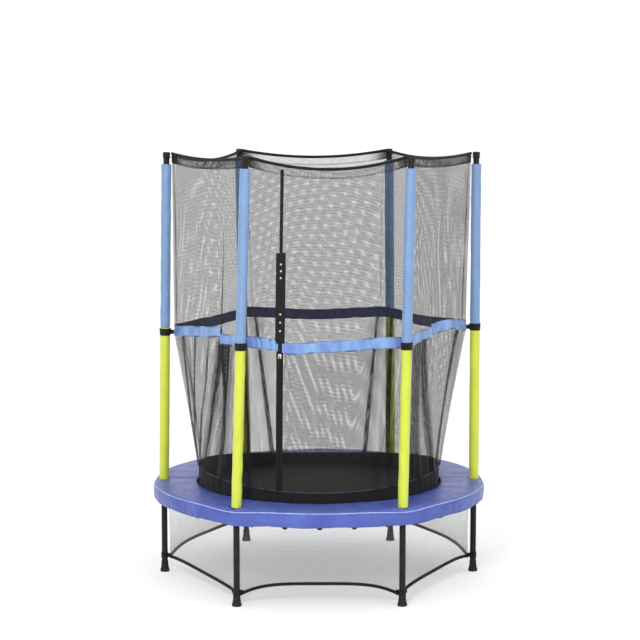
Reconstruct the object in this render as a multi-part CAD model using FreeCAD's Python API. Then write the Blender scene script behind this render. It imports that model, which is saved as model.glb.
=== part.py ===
import FreeCAD, Part
import math
import os

V = FreeCAD.Vector
UP = V(0, 0, 1)
ORIGIN = V(0, 0, 0)

# A child's enclosed trampoline, in millimetres. +Z is up, the origin is on the
# floor under the middle of the mat, and the door side faces -Y.
# A site is one of the six places where a leg, the ring and a net post meet.
# Site angles turn from -Y towards +X.
SITES = {"front_left": -30, "front_right": 30, "right": 90,
         "back_right": 150, "back_left": 210, "left": 270}
# A side is the span between two neighbouring sites, named by where it faces.
SIDES = {"front": 0, "right_front": 60, "right_back": 120,
         "back": 180, "left_back": 240, "left_front": 300}
HALF_SIDE = 30.0

# Steel tube frame
SITE_R = 658.0          # legs, ring tube and post bases stand on this circle
TUBE_R = 12.7           # 25.4 mm steel tube
BORE_R = 11.5           # 1.2 mm wall
SPIGOT_R = 11.4         # 0.1 mm running clearance in the bore
SPIGOT_BORE_R = 9.9
RING_Z = 365.0          # centre line of the ring tube
FITTING_R = 15.5
FITTING_LOW = 346.0
FITTING_TOP = 381.0
FITTING_SPAN = 1.6      # degrees of ring that the fitting's block takes up, each way
STUB_SPAN = 6.0         # degrees of ring that its stubs reach, each way
SPIGOT_L = 48.0
SEAT_GAP = 0.6          # a tilted post end stays this far off the flat shoulder
SCREW_R = 2.5
SCREW_CLEARANCE = 0.1
SCREW_SPAN = 3.8        # degrees from the site to each ring screw
LEG_SCREW_Z = 322.0

# Feet and legs
FOOT_R = 19.5
FOOT_H = 47.0
FOOT_FLOOR = 8.0        # rubber under the end of the leg
LEG_TOP = FITTING_LOW

# Net posts: the net's pull leans them sideways, all the same way round, in degrees.
# The left one is also pulled inwards.
SIDEWAYS_LEAN = {"front_left": 2.0, "front_right": 1.3, "right": 0.5,
                 "back_right": 0.6, "back_left": 1.1, "left": 1.0}
INWARD_LEAN = {"front_left": 0.0, "front_right": 0.0, "right": 0.0,
               "back_right": 0.0, "back_left": 0.0, "left": 1.0}
POST_BASE = FITTING_TOP
POST_JOINT = 1050.0
POST_TOP = 1757.0
NECK_L = 45.0           # swaged end of the lower post, inside the upper one
CAP_NECK_R = 13.0
CAP_NECK_TOP = 1768.0
CAP_HEAD_R = 15.5
CAP_TOP = 1785.0
CAP_EDGE_R = 6.0
CAP_PLUG_L = 22.0
ROPE_TIE_R = 2.0
ROPE_TIE_UP = 5.0       # from the post's top to the middle of the tie
SLEEVE_R = 20.5
SLEEVE_BORE_R = 13.0
SLEEVE_FOOT = 387.0
SLEEVE_TOP = 1735.0
STRAP_H = 26.0
STRAP_WALL = 2.0
STRAP_GAP = 0.3
STRAP_TAB = (14.0, 3.0, 20.0)
STRAP_DOWN = {"front_left": 10.0, "front_right": 10.0, "right": 0.0,
              "back_right": 0.0, "back_left": 0.0, "left": 19.0}

# Jumping mat and its suspension
MAT_R = 548.0
MAT_LOW, MAT_TOP = 368.0, 371.0
WEBBING_IN_R = 512.0
WEBBING_T = 4.0
LOOPS_PER_SIDE = 5
LOOP_STEP = 12.0        # degrees
MAT_RING_R = 10.0
MAT_RING_WIRE_R = 1.8
MAT_RING_AT_R = 560.5
CORD_R = 2.5
CORD_OVER_RING_R = TUBE_R + 0.3 + CORD_R
CORD_HALF_GAP = 5.0     # from the middle of a loop to each of its two strands
LOOP_START_R = 580.0
LOOP_START_Z = 366.5
LOOP_END_ANGLE = -62.0  # where a strand leaves the ring, below its outer side
BALL_R = 12.5
BALL_AT_R = 655.5
BALL_Z = 337.5

# Padded frame cover
PAD_IN_R = 515.5
PAD_OUT_R = 700.0
PAD_LOW_IN, PAD_LOW_OUT = 391.0, 385.5
PAD_TOP_IN, PAD_TOP_OUT = 404.0, 395.0
PAD_SHOULDER_R = 692.0
PAD_SKIN = 1.0
PAD_SEAM = 0.5          # degrees of cover on each side of a seam between foam pieces
POST_HOLE_R = 23.5
POST_HOLE_RIM = 3.0     # cover sewn round each post hole
SKIRT_T = 2.5
SKIRT_LOW = 341.0

# Net enclosure
NET_T = 2.0
NET_FOOT_R = 511.5
NET_WAIST_R = 620.0     # net corners at the middle band
NET_HEAD_R = 636.0      # net corners beside the post caps
NET_INSET = 0.004       # fraction of a side left free beside each corner
WAIST_LOW, WAIST_TOP = 1036.0, 1076.0
WAIST_SAG = 12.0
HEAD_Z = 1779.0
HEAD_SAG = {"front": 48, "right_front": 12, "right_back": 27,
            "back": 30, "left_back": 36, "left_front": 18}
ROPE_R = 5.5
ROPE_LAP = 2.5          # from the rope's underside down to the hem, at the steep corners
HEM_H = 30.0
LAP = 0.6               # gap left between one sewn piece and the next
FOOT_BAND_MEAN = 452.75  # top edge of the black foot band: mean height,
FOOT_BAND_TILT = 12.5    # how much higher the front is than the mean,
FOOT_BAND_SIDES = -20.25  # and how much the front and back dip below the sides
FOOT_BAND_T = 3.0
FOOT_BAND_STEP = 10       # degrees between points of its outline

# Door: a zip below the middle band and a flap with snap studs above it
ZIP_FOOT_X, ZIP_WAIST_X, ZIP_HEAD_X = -162.0, -156.0, -144.0
ZIP_TAPE_HALF = 13.5
SLIT_HALF = 1.5
DOOR_GAP_HALF = 8.0     # gap in the middle band
TEETH = (6.0, 1.5)      # width, and how far they stand out
TEETH_LIFT = 0.9        # off the tape, which curves slightly behind them
SLIDER = (12.0, 18.0, 5.6)
SLIDER_DOWN = 30.0      # from the zip's top end to the slider's middle
SLIDER_LIFT = 0.3
EAR = (2.0, 6.0, 7.0)
EAR_ASIDE, EAR_OUT = 3.8, 1.5
PIN_OUT = 9.8
PIN_R = 1.4
PIN_L = 9.0
EYE_CLEARANCE = 0.1
EYE_L = 4.6
EYE_R = 2.6
TAB = (7.0, 32.0, 1.4)
TAB_CORNER_R = 2.5
TAB_HOLE_R = 1.8
STEM_W, STEM_L = 4.4, 10.0
FLAP_TOP, FLAP_LOW = 1400.0, 1048.0
FLAP_HALF = 16.0
FLAP_T = 3.0
FLAP_LIFT = 1.0         # off the net
SEAM_LIFT = 2.0
DOOR_SEAM_HALF = 4.0
STUD_R = 3.5
STUD_T = 1.6
STUD_GAP = 0.2
STUD_HEIGHTS = [1361, 1334, 1307, 1164, 1131, 1098]

# Netting between the legs
APRON_TOP_R = 638.0
APRON_TOP = 348.0
APRON_FOOT_R = 636.0
HEM_R = 5.5
HEM_AT_LEG = {"front_left": 54.0, "front_right": 54.0, "right": 64.0,
              "back_right": 80.0, "back_left": 80.0, "left": 64.0}
HEM_RISE = {"front": 31.0, "right_front": 12.0, "right_back": 48.0,
            "back": 36.0, "left_back": 42.0, "left_front": 6.0}
TIE_BELOW = 6.0         # from the hem's middle down to the lower edge of the leg's tie
TIE_H = 24.0
TIE_R = 15.5
NET_OFF_HEM = 2.0       # from the hem cord up to the netting

GRID = 9                # points across one side of a sewn panel


def radial(angle):
    """Unit vector outwards at an angle turned from -Y towards +X."""
    turn = math.radians(angle)
    return V(math.sin(turn), -math.cos(turn), 0)


def along(angle):
    """Unit vector along the ring at an angle, anticlockwise seen from above."""
    turn = math.radians(angle)
    return V(math.cos(turn), math.sin(turn), 0)


def at(angle, radius, z=0.0):
    return radial(angle) * radius + V(0, 0, z)


def site_at(angle):
    """Name of the site at an angle, which may be given a whole turn more or less."""
    for site, place in SITES.items():
        if abs((angle - place + HALF_SIDE) % 360 - HALF_SIDE) < 1:
            return site
    raise ValueError(f"no site at {angle} degrees")


def leaned(angle, radius, z):
    """A point that leans with the post of its site."""
    site = site_at(angle)
    rise = z - POST_BASE
    sideways = rise * math.tan(math.radians(SIDEWAYS_LEAN[site]))
    inward = rise * math.tan(math.radians(INWARD_LEAN[site]))
    return at(angle, radius - inward, z) + along(angle) * sideways


def cylinder(radius, low, high, centre=ORIGIN):
    base = V(centre.x, centre.y, low)
    return Part.makeCylinder(radius, high - low, base)


def tube(outer, inner, low, high, centre=ORIGIN):
    wall = cylinder(outer, low, high, centre)
    return wall.cut(cylinder(inner, low - 1, high + 1, centre))


def box_about(middle, side, out, up, sizes):
    """Box with its middle at a point and its three sizes along three directions."""
    width, depth, height = sizes
    corner = middle - side * (width / 2) - out * (depth / 2) - up * (height / 2)
    base = Part.makePolygon([corner, corner + side * width,
                             corner + side * width + out * depth,
                             corner + out * depth, corner])
    return Part.Face(base).extrude(up * height)


def revolved(profile):
    """Solid turned about the Z axis from (radius, z) points."""
    points = [V(r, 0, z) for r, z in profile]
    outline = Part.makePolygon(points + [points[0]])
    return Part.Face(outline).revolve(ORIGIN, UP, 360)


def ring_arc(radius, start, end, z=RING_Z, circle=SITE_R):
    """Round bar that follows part of the ring from one angle to another."""
    path = Part.Wire([Part.Arc(at(start, circle, z), at((start + end) / 2, circle, z),
                               at(end, circle, z)).toShape()])
    section = Part.Wire([Part.Circle(at(start, circle, z), along(start), radius).toShape()])
    return path.makePipeShell([section], True, False)


def stood_at(shape, angle):
    """Copy of a shape built about the Z axis, moved out to the site circle."""
    copy = shape.copy()
    copy.translate(at(angle, SITE_R))
    return copy


def tilted_at(shape, angle):
    """The same, leaning with the post of its site about the post's base."""
    copy = stood_at(shape, angle)
    base = at(angle, SITE_R, POST_BASE)
    site = site_at(angle)
    copy.rotate(base, radial(angle), -SIDEWAYS_LEAN[site])
    copy.rotate(base, along(angle), -INWARD_LEAN[site])
    return copy


def turned(shape, angle):
    """Copy of a shape built at the angle 0, turned round the ring."""
    copy = shape.copy()
    copy.rotate(ORIGIN, UP, angle)
    return copy


def at_each_site(make):
    return Part.makeCompound([make(angle) for angle in SITES.values()])


def save(shape, name):
    shape.exportStep(f"parts/{name}.step")


# Sewn sheets

def triangles(a, b, c, d):
    faces = []
    for corners in ([a, b, c, a], [a, c, d, a]):
        faces.append(Part.Face(Part.makePolygon(corners)))
    return faces


def sheet_solid(rows, inward, joined=False):
    """Closed thin sheet. Its outer face runs through rows of points, low row first, and
    each column is thickened by its own inward vector. A joined sheet's ends meet."""
    count = len(rows[0])
    if joined:
        rows = [row + row[:1] for row in rows]
        inward = inward + inward[:1]
        count += 1
    inner = [[point + shift for point, shift in zip(row, inward)] for row in rows]
    faces = []
    for low in range(len(rows) - 1):
        high = low + 1
        for i in range(count - 1):
            faces += triangles(rows[low][i], rows[low][i + 1], rows[high][i + 1], rows[high][i])
            faces += triangles(inner[low][i], inner[high][i], inner[high][i + 1], inner[low][i + 1])
        for end in () if joined else (0, -1):
            faces += triangles(rows[low][end], rows[high][end], inner[high][end], inner[low][end])
    for edge in (0, -1):
        for i in range(count - 1):
            faces += triangles(rows[edge][i], rows[edge][i + 1], inner[edge][i + 1], inner[edge][i])
    shell = Part.makeShell(faces)
    shell.sewShape()
    solid = Part.makeSolid(shell)
    if solid.Volume < 0:
        solid.reverse()
    return solid


def flat_sheet(rows, outward, thickness):
    """Sheet thickened the same way all over."""
    return sheet_solid(rows, [outward * -thickness] * len(rows[0]))


def fractions(start=NET_INSET, end=1 - NET_INSET, count=GRID):
    return [start + (end - start) * i / (count - 1) for i in range(count)]


def droop(fraction, sag):
    """How far an edge hangs below its ends, part way along a side."""
    return sag * 4 * fraction * (1 - fraction)


def chord_point(side, fraction, radius, z, sag=0.0):
    """Point on the straight line between two leaning net corners."""
    start = leaned(side - HALF_SIDE, radius, z)
    end = leaned(side + HALF_SIDE, radius, z)
    return start + (end - start) * fraction - V(0, 0, droop(fraction, sag))


def arc_angle(side, fraction):
    return side + HALF_SIDE * (2 * fraction - 1)


def chord_fraction(x, radius, z):
    """Fraction of the front side at which a level line has a given x."""
    start = chord_point(0, 0, radius, z).x
    end = chord_point(0, 1, radius, z).x
    return (x - start) / (end - start)


def panel_outward(side, z):
    """Outward normal of a side's net at some height."""
    run = chord_point(side, 1, NET_WAIST_R, z) - chord_point(side, 0, NET_WAIST_R, z)
    return run.cross(UP).normalize()


def foot_band_top(angle):
    turn = math.radians(angle)
    return (FOOT_BAND_MEAN + FOOT_BAND_TILT * math.cos(turn)
            + FOOT_BAND_SIDES * math.cos(2 * turn))


def foot_row(side, fracs, lift=LAP):
    """Lower edge of the net, on the foot band."""
    angles = [arc_angle(side, fraction) for fraction in fracs]
    return [at(angle, NET_FOOT_R, foot_band_top(angle) + lift) for angle in angles]


def waist_row(side, fracs, z, radius=NET_WAIST_R):
    return [chord_point(side, fraction, radius, z, WAIST_SAG) for fraction in fracs]


def head_row(side, fracs, below):
    """A line below the top rope, following its sag."""
    sag = HEAD_SAG[side]
    return [chord_point(SIDES[side], fraction, NET_HEAD_R, HEAD_Z - below, sag)
            for fraction in fracs]


ZIP_FOOT_F = (math.degrees(math.asin(ZIP_FOOT_X / NET_FOOT_R)) + HALF_SIDE) / (2 * HALF_SIDE)
ZIP_WAIST_F = chord_fraction(ZIP_WAIST_X, NET_WAIST_R, WAIST_LOW)
ZIP_HEAD_F = chord_fraction(ZIP_HEAD_X, NET_HEAD_R, HEAD_Z)


# Steel frame

def corner_fitting(angle):
    """Cross-shaped joint: two ring stubs, a spigot down for the leg, one up for the post."""
    block = cylinder(FITTING_R, FITTING_LOW, FITTING_TOP)
    leg_spigot = cylinder(SPIGOT_R, FITTING_LOW - SPIGOT_L, FITTING_LOW)
    upright = stood_at(block.fuse(leg_spigot), angle)
    post_spigot = tilted_at(cylinder(SPIGOT_R, FITTING_TOP - 4, FITTING_TOP + SPIGOT_L), angle)
    stubs = ring_arc(SPIGOT_R, angle - STUB_SPAN, angle + STUB_SPAN)
    body = upright.fuse([post_spigot, stubs])
    low_bore = stood_at(cylinder(SPIGOT_BORE_R, FITTING_LOW - SPIGOT_L - 1, FITTING_LOW + 8), angle)
    high_bore = tilted_at(cylinder(SPIGOT_BORE_R, FITTING_TOP + 2, FITTING_TOP + SPIGOT_L + 1), angle)
    body = body.cut([low_bore, high_bore])
    for turn in (-1, 1):
        body = body.cut(ring_arc(SPIGOT_BORE_R, angle + turn * 2, angle + turn * (STUB_SPAN + 1)))
        body = body.cut(ring_screw_hole(angle + turn * SCREW_SPAN))
    return body.cut(leg_screw_hole(angle))


def ring_screw_hole(angle):
    hole = cylinder(SCREW_R + SCREW_CLEARANCE, RING_Z - TUBE_R - 2, RING_Z - 5)
    hole.translate(at(angle, SITE_R))
    return hole


def leg_screw_hole(angle):
    start = at(angle, SITE_R - TUBE_R - 2, LEG_SCREW_Z)
    return Part.makeCylinder(SCREW_R + SCREW_CLEARANCE, 10, start, radial(angle))


def screw():
    """Domed screw along +Z with its head's underside at the origin."""
    shank = cylinder(SCREW_R, 0, 8)
    head = Part.makeSphere(6.2, V(0, 0, 3.2)).common(cylinder(5.2, -3, 0))
    slot = Part.makeBox(7, 1.2, 1.2, V(-3.5, -0.6, -3.0))
    return shank.fuse(head).cut(slot)


def ring_screws():
    screws = []
    for angle in SITES.values():
        for turn in (-1, 1):
            one = screw()
            one.translate(at(angle + turn * SCREW_SPAN, SITE_R, RING_Z - TUBE_R - 0.05))
            screws.append(one)
    return Part.makeCompound(screws)


def leg_screw(angle):
    one = screw()
    one.rotate(ORIGIN, V(0, 1, 0), 90)
    one.rotate(ORIGIN, UP, angle - 90)
    one.translate(at(angle, SITE_R - TUBE_R - 0.05, LEG_SCREW_Z))
    return one


def ring_tube(side):
    """One sixth of the ring, open at both ends for the fittings' stubs."""
    start = side - HALF_SIDE + FITTING_SPAN
    end = side + HALF_SIDE - FITTING_SPAN
    wall = ring_arc(TUBE_R, start, end).cut(ring_arc(BORE_R, start - 0.2, end + 0.2))
    near, far = side - HALF_SIDE + SCREW_SPAN, side + HALF_SIDE - SCREW_SPAN
    return wall.cut([ring_screw_hole(near), ring_screw_hole(far)])


def leg(angle):
    upright = stood_at(tube(TUBE_R, BORE_R, FOOT_FLOOR, LEG_TOP), angle)
    return upright.cut(leg_screw_hole(angle))


def rubber_foot(angle):
    """Bell-shaped foot with a blind socket for the leg."""
    flare = Part.Arc(V(FOOT_R, 0, 7), V(16.2, 0, 20), V(14.6, 0, 34)).toShape()
    points = [V(14.6, 0, 34), V(14.3, 0, FOOT_H), V(12.8, 0, FOOT_H), V(12.8, 0, FOOT_FLOOR),
              V(0, 0, FOOT_FLOOR), ORIGIN, V(18.5, 0, 0), V(FOOT_R, 0, 2), V(FOOT_R, 0, 7)]
    outline = Part.Wire([flare, *Part.makePolygon(points).Edges])
    bell = Part.Face(outline).revolve(ORIGIN, UP, 360)
    return stood_at(bell, angle)


# Posts and their covers

def lower_post(angle):
    wall = cylinder(TUBE_R, POST_BASE + SEAT_GAP, POST_JOINT)
    neck = cylinder(SPIGOT_R, POST_JOINT, POST_JOINT + NECK_L)
    solid = wall.fuse(neck)
    solid = solid.cut(cylinder(BORE_R, POST_BASE, POST_JOINT - 6))
    return tilted_at(solid.cut(cylinder(SPIGOT_BORE_R, POST_BASE, POST_JOINT + NECK_L + 1)), angle)


def upper_post(angle):
    return tilted_at(tube(TUBE_R, BORE_R, POST_JOINT, POST_TOP), angle)


def lower_sleeve(angle):
    return tilted_at(tube(SLEEVE_R, SLEEVE_BORE_R, SLEEVE_FOOT, POST_JOINT), angle)


def upper_sleeve(angle):
    return tilted_at(tube(SLEEVE_R, SLEEVE_BORE_R, POST_JOINT, SLEEVE_TOP), angle)


def post_cap(angle):
    """Plug with a neck for the rope's tie and a rounded head over it."""
    plug = cylinder(SPIGOT_R, POST_TOP - CAP_PLUG_L, POST_TOP)
    neck = cylinder(CAP_NECK_R, POST_TOP, CAP_NECK_TOP)
    head = cylinder(CAP_HEAD_R, CAP_NECK_TOP, CAP_TOP)
    rim = [edge for edge in head.Edges if edge.BoundBox.ZMin > CAP_TOP - 0.1]
    head = head.makeFillet(CAP_EDGE_R, rim)
    return tilted_at(plug.fuse([neck, head]), angle)


def post_strap(angle):
    """Strap round the post near its sleeves' joint, with a tab to the net's corner."""
    inner = SLEEVE_R + STRAP_GAP
    outer = inner + STRAP_WALL
    height = POST_JOINT - STRAP_DOWN[site_at(angle)]
    band = tube(outer, inner, height - STRAP_H / 2, height + STRAP_H / 2)
    reach, thick, tall = STRAP_TAB
    middle = radial(angle) * -(outer + reach / 2 - STRAP_GAP) + UP * height
    tab = box_about(middle, along(angle), radial(angle), UP, (thick, reach, tall))
    return tilted_at(band.fuse(tab), angle)


def rope_tie(angle):
    """Elastic ring that holds the net's rope to the cap's neck."""
    middle = V(0, 0, POST_TOP + ROPE_TIE_UP)
    ring = Part.makeTorus(CAP_NECK_R + ROPE_TIE_R + LAP / 2, ROPE_TIE_R, middle)
    return tilted_at(ring, angle)


# Mat and elastic loops

def mat():
    return cylinder(MAT_R, MAT_LOW, MAT_TOP)


def mat_webbing():
    return tube(MAT_R, WEBBING_IN_R, MAT_LOW - WEBBING_T, MAT_LOW)


def loop_angles():
    middle = (LOOPS_PER_SIDE - 1) / 2
    return [side + (i - middle) * LOOP_STEP
            for side in SIDES.values() for i in range(LOOPS_PER_SIDE)]


def mat_rings():
    ring = Part.makeTorus(MAT_RING_R, MAT_RING_WIRE_R, at(0, MAT_RING_AT_R, MAT_LOW - WEBBING_T / 2))
    return Part.makeCompound([turned(ring, angle) for angle in loop_angles()])


def loop_ball():
    return Part.makeSphere(BALL_R, at(0, BALL_AT_R, BALL_Z))


def elastic_loop():
    """One cord: out over the ring, round it to the ball, as two strands joined at the mat."""
    centre = V(0, -SITE_R, RING_Z)
    start = V(0, -LOOP_START_R, LOOP_START_Z)
    to_centre = centre - start
    spread = math.acos(CORD_OVER_RING_R / to_centre.Length)
    back = math.atan2(start.z - centre.z, -(start.y - centre.y))
    touch_angle = back - spread + 2 * math.pi if back < 0 else back - spread

    def on_ring(turn):
        return centre + V(0, -math.cos(turn), math.sin(turn)) * CORD_OVER_RING_R

    end_angle = math.radians(LOOP_END_ANGLE)
    touch = on_ring(touch_angle)
    middle = on_ring((touch_angle + end_angle) / 2)
    end = on_ring(end_angle)
    inward = (start - touch).normalize()
    aside = V(CORD_HALF_GAP, 0, 0)
    edges = [Part.Arc(end + aside, middle + aside, touch + aside).toShape(),
             Part.LineSegment(touch + aside, start + aside).toShape(),
             Part.Arc(start + aside, start + inward * CORD_HALF_GAP, start - aside).toShape(),
             Part.LineSegment(start - aside, touch - aside).toShape(),
             Part.Arc(touch - aside, middle - aside, end - aside).toShape()]
    run = V(0, math.sin(end_angle), math.cos(end_angle))
    section = Part.Wire([Part.Circle(end + aside, run, CORD_R).toShape()])
    return Part.Wire(edges).makePipeShell([section], True, False)


def elastic_loops():
    loop = elastic_loop().cut(loop_ball())
    return Part.makeCompound([turned(loop, angle) for angle in loop_angles()])


def loop_balls():
    return Part.makeCompound([turned(loop_ball(), angle) for angle in loop_angles()])


# Padded cover

def pad_outer():
    return revolved([(PAD_IN_R, PAD_LOW_IN), (PAD_IN_R, PAD_TOP_IN), (PAD_SHOULDER_R, PAD_TOP_OUT),
                     (PAD_OUT_R, PAD_TOP_OUT - 4), (PAD_OUT_R, PAD_LOW_OUT)])


def pad_foam_ring():
    skin = PAD_SKIN
    return revolved([(PAD_IN_R + 2, PAD_LOW_IN + skin), (PAD_IN_R + 2, PAD_TOP_IN - skin),
                     (PAD_SHOULDER_R, PAD_TOP_OUT - skin), (PAD_SHOULDER_R, PAD_LOW_OUT + skin)])


def post_hole(angle, radius):
    return stood_at(cylinder(radius, PAD_LOW_OUT - 5, PAD_TOP_IN + 5), angle)


def wedge(side, half_width):
    """Slice of the pad's ring between two radial planes."""
    reach = PAD_OUT_R * 1.3
    corners = [ORIGIN, at(side - half_width, reach), at(side, reach), at(side + half_width, reach), ORIGIN]
    face = Part.Face(Part.makePolygon(corners))
    slab = face.extrude(UP * (PAD_TOP_IN + 10))
    return slab


def pad_foam():
    """Six foam pieces, one between each two radial seams."""
    ring = pad_foam_ring().cut([post_hole(angle, POST_HOLE_R + POST_HOLE_RIM)
                                for angle in SITES.values()])
    return [ring.common(wedge(side, HALF_SIDE - PAD_SEAM)) for side in SIDES.values()]


def pad_cover(foam):
    cover = pad_outer().cut([post_hole(angle, POST_HOLE_R) for angle in SITES.values()])
    return cover.cut(foam)


def pad_skirt():
    return tube(PAD_OUT_R, PAD_OUT_R - SKIRT_T, SKIRT_LOW, PAD_LOW_OUT)


# Net enclosure

def foot_band():
    """Black band that joins the net to the mat, higher at the sides than at the back."""
    angles = range(0, 360, FOOT_BAND_STEP)
    low = [at(angle, NET_FOOT_R, MAT_TOP) for angle in angles]
    high = [at(angle, NET_FOOT_R, foot_band_top(angle)) for angle in angles]
    inward = [radial(angle) * -FOOT_BAND_T for angle in angles]
    return sheet_solid([low, high], inward, joined=True)


def split_front(side, at_fraction, half_width):
    """Fractions for the whole side, or for the two parts of the front beside the door."""
    if side != "front":
        return [fractions()]
    return [fractions(NET_INSET, at_fraction - half_width, 4),
            fractions(at_fraction + half_width, 1 - NET_INSET)]


def width_fraction(width, radius):
    return width / radius       # a side's chord is as long as its corner radius


def lower_net():
    """Six panels that narrow from the hexagon of the middle band to the round foot band."""
    panels = []
    half = ZIP_TAPE_HALF + LAP
    for side, angle in SIDES.items():
        feet = split_front(side, ZIP_FOOT_F, width_fraction(half, NET_FOOT_R))
        waists = split_front(side, ZIP_WAIST_F, width_fraction(half, NET_WAIST_R))
        for foot, waist in zip(feet, waists):
            low = foot_row(angle, foot)
            high = waist_row(angle, waist, WAIST_LOW - LAP)
            panels.append(flat_sheet([low, high], panel_outward(angle, WAIST_LOW), NET_T))
    return Part.makeCompound(panels)


def middle_band():
    panels = []
    for side, angle in SIDES.items():
        half = width_fraction(DOOR_GAP_HALF, NET_WAIST_R)
        for fracs in split_front(side, ZIP_WAIST_F, half):
            rows = [waist_row(angle, fracs, WAIST_LOW), waist_row(angle, fracs, WAIST_TOP)]
            panels.append(flat_sheet(rows, panel_outward(angle, WAIST_LOW), NET_T))
    return Part.makeCompound(panels)


def upper_net():
    panels = []
    for side, angle in SIDES.items():
        waists = split_front(side, ZIP_WAIST_F, width_fraction(SLIT_HALF, NET_WAIST_R))
        heads = split_front(side, ZIP_HEAD_F, width_fraction(SLIT_HALF, NET_HEAD_R))
        for waist, head in zip(waists, heads):
            low = waist_row(angle, waist, WAIST_TOP + LAP)
            high = head_row(side, head, ROPE_R + HEM_H + LAP)
            panels.append(flat_sheet([low, high], panel_outward(angle, WAIST_TOP), NET_T))
    return Part.makeCompound(panels)


def top_hem():
    panels = []
    for side, angle in SIDES.items():
        fracs = fractions()
        rows = [head_row(side, fracs, ROPE_R + HEM_H), head_row(side, fracs, ROPE_R + ROPE_LAP)]
        panels.append(flat_sheet(rows, panel_outward(angle, HEAD_Z), NET_T))
    return Part.makeCompound(panels)


def arc_cord(start, middle, end, radius):
    """Round cord along the arc through three points."""
    arc = Part.Arc(start, middle, end).toShape()
    first = arc.tangentAt(arc.FirstParameter)
    section = Part.Wire([Part.Circle(arc.valueAt(arc.FirstParameter), first, radius).toShape()])
    return Part.Wire([arc]).makePipeShell([section], True, False)


def top_rope():
    """One rope round the top, low between the posts, with a knot of cord at each corner."""
    rope = None
    for side, angle in SIDES.items():
        ends = [chord_point(angle, fraction, NET_HEAD_R, HEAD_Z) for fraction in (0, 1)]
        middle = chord_point(angle, 0.5, NET_HEAD_R, HEAD_Z, HEAD_SAG[side])
        run = arc_cord(ends[0], middle, ends[1], ROPE_R)
        corner = Part.makeSphere(ROPE_R + 0.05, ends[0])
        rope = run.fuse(corner) if rope is None else rope.fuse([run, corner])
    return rope


# Door

def zip_axes():
    """Top end of the zip, its direction up, across it and out of the net."""
    foot_angle = arc_angle(0, ZIP_FOOT_F)
    foot = at(foot_angle, NET_FOOT_R, foot_band_top(foot_angle) + LAP)
    head = chord_point(0, ZIP_WAIST_F, NET_WAIST_R, WAIST_LOW - LAP, WAIST_SAG)
    up = (head - foot).normalize()
    level = along(0)
    out = level.cross(up).normalize()
    side = up.cross(out).normalize()
    return foot, head, up, side, out


def zip_tape():
    """Strip that fills the lower net's gap; its outer face lies in the net's."""
    half_foot = width_fraction(ZIP_TAPE_HALF, NET_FOOT_R)
    half_waist = width_fraction(ZIP_TAPE_HALF, NET_WAIST_R)
    low = foot_row(0, fractions(ZIP_FOOT_F - half_foot, ZIP_FOOT_F + half_foot, 3))
    waist = fractions(ZIP_WAIST_F - half_waist, ZIP_WAIST_F + half_waist, 3)
    high = waist_row(0, waist, WAIST_LOW - LAP)
    return flat_sheet([low, high], panel_outward(0, WAIST_LOW), NET_T)


def zip_teeth():
    foot, head, up, side, out = zip_axes()
    width, stand = TEETH
    length = (head - foot).Length - 6
    middle = (foot + head) * 0.5 + out * (TEETH_LIFT + stand / 2)
    return box_about(middle, side, out, up, (width, stand, length))


def slider_centre():
    foot, head, up, side, out = zip_axes()
    return head - up * SLIDER_DOWN


def zip_slider():
    """Body that runs on the teeth, with two ears for the pull's pin."""
    foot, head, up, side, out = zip_axes()
    width, height, depth = SLIDER
    lift = TEETH_LIFT + SLIDER_LIFT
    middle = slider_centre() + out * (lift + depth / 2)
    body = box_about(middle, side, out, up, (width, depth, height))
    body = body.makeFillet(1.5, body.Edges)
    channel_depth = TEETH[1]
    channel = box_about(slider_centre() + out * (lift + channel_depth / 2 - 1), side, out, up,
                        (TEETH[0] + 2 * SLIDER_LIFT, channel_depth + 2, height + 4))
    body = body.cut(channel)
    pin_at = slider_centre() + out * PIN_OUT
    ears = []
    for hand in (-1, 1):
        ear_at = slider_centre() + side * (hand * EAR_ASIDE) + out * (lift + depth + EAR_OUT)
        ears.append(box_about(ear_at, side, out, up, EAR))
    pin = Part.makeCylinder(PIN_R, PIN_L, pin_at - side * (PIN_L / 2), side)
    return body.fuse(ears + [pin])


def zip_pull():
    """Tab hanging straight down from an eye on the slider's pin."""
    foot, head, up, side, out = zip_axes()
    pin_at = slider_centre() + out * PIN_OUT
    width, length, thick = TAB
    eye = Part.makeCylinder(EYE_R, EYE_L, pin_at - side * (EYE_L / 2), side)
    level = V(side.x, side.y, 0).normalize()
    outward = level.cross(UP)
    stem = box_about(pin_at - UP * (STEM_L / 2), level, outward, UP, (STEM_W, thick, STEM_L))
    tab_at = pin_at - UP * (STEM_L - 2 + length / 2)
    tab = box_about(tab_at, level, outward, UP, (width, thick, length))
    corners = [edge for edge in tab.Edges if edge.Length < thick + 0.1]
    tab = tab.makeFillet(TAB_CORNER_R, corners)
    pull = eye.fuse([stem, tab])
    bore = Part.makeCylinder(PIN_R + EYE_CLEARANCE, EYE_L + 2, pin_at - side * (EYE_L / 2 + 1), side)
    hole_at = pin_at - UP * (STEM_L + length - 6) - outward * 5
    hole = Part.makeCylinder(TAB_HOLE_R, 10, hole_at, outward)
    return pull.cut([bore, hole])


def flap_point(aside, z, lift):
    """Point on the door's line above the middle band, off the net by a lift."""
    share = (z - WAIST_LOW) / (HEAD_Z - WAIST_LOW)
    radius = NET_WAIST_R + (NET_HEAD_R - NET_WAIST_R) * share
    fraction = ZIP_WAIST_F + (ZIP_HEAD_F - ZIP_WAIST_F) * share
    outward = panel_outward(0, z)
    across = UP.cross(outward).normalize()
    return chord_point(0, fraction, radius, z) + across * aside + outward * lift


def flap_strip(low, high, half, lift, thickness):
    rows = [[flap_point(aside, z, lift + thickness) for aside in (-half, 0, half)]
            for z in (low, (low + high) / 2, high)]
    return flat_sheet(rows, panel_outward(0, (low + high) / 2), thickness)


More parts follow.
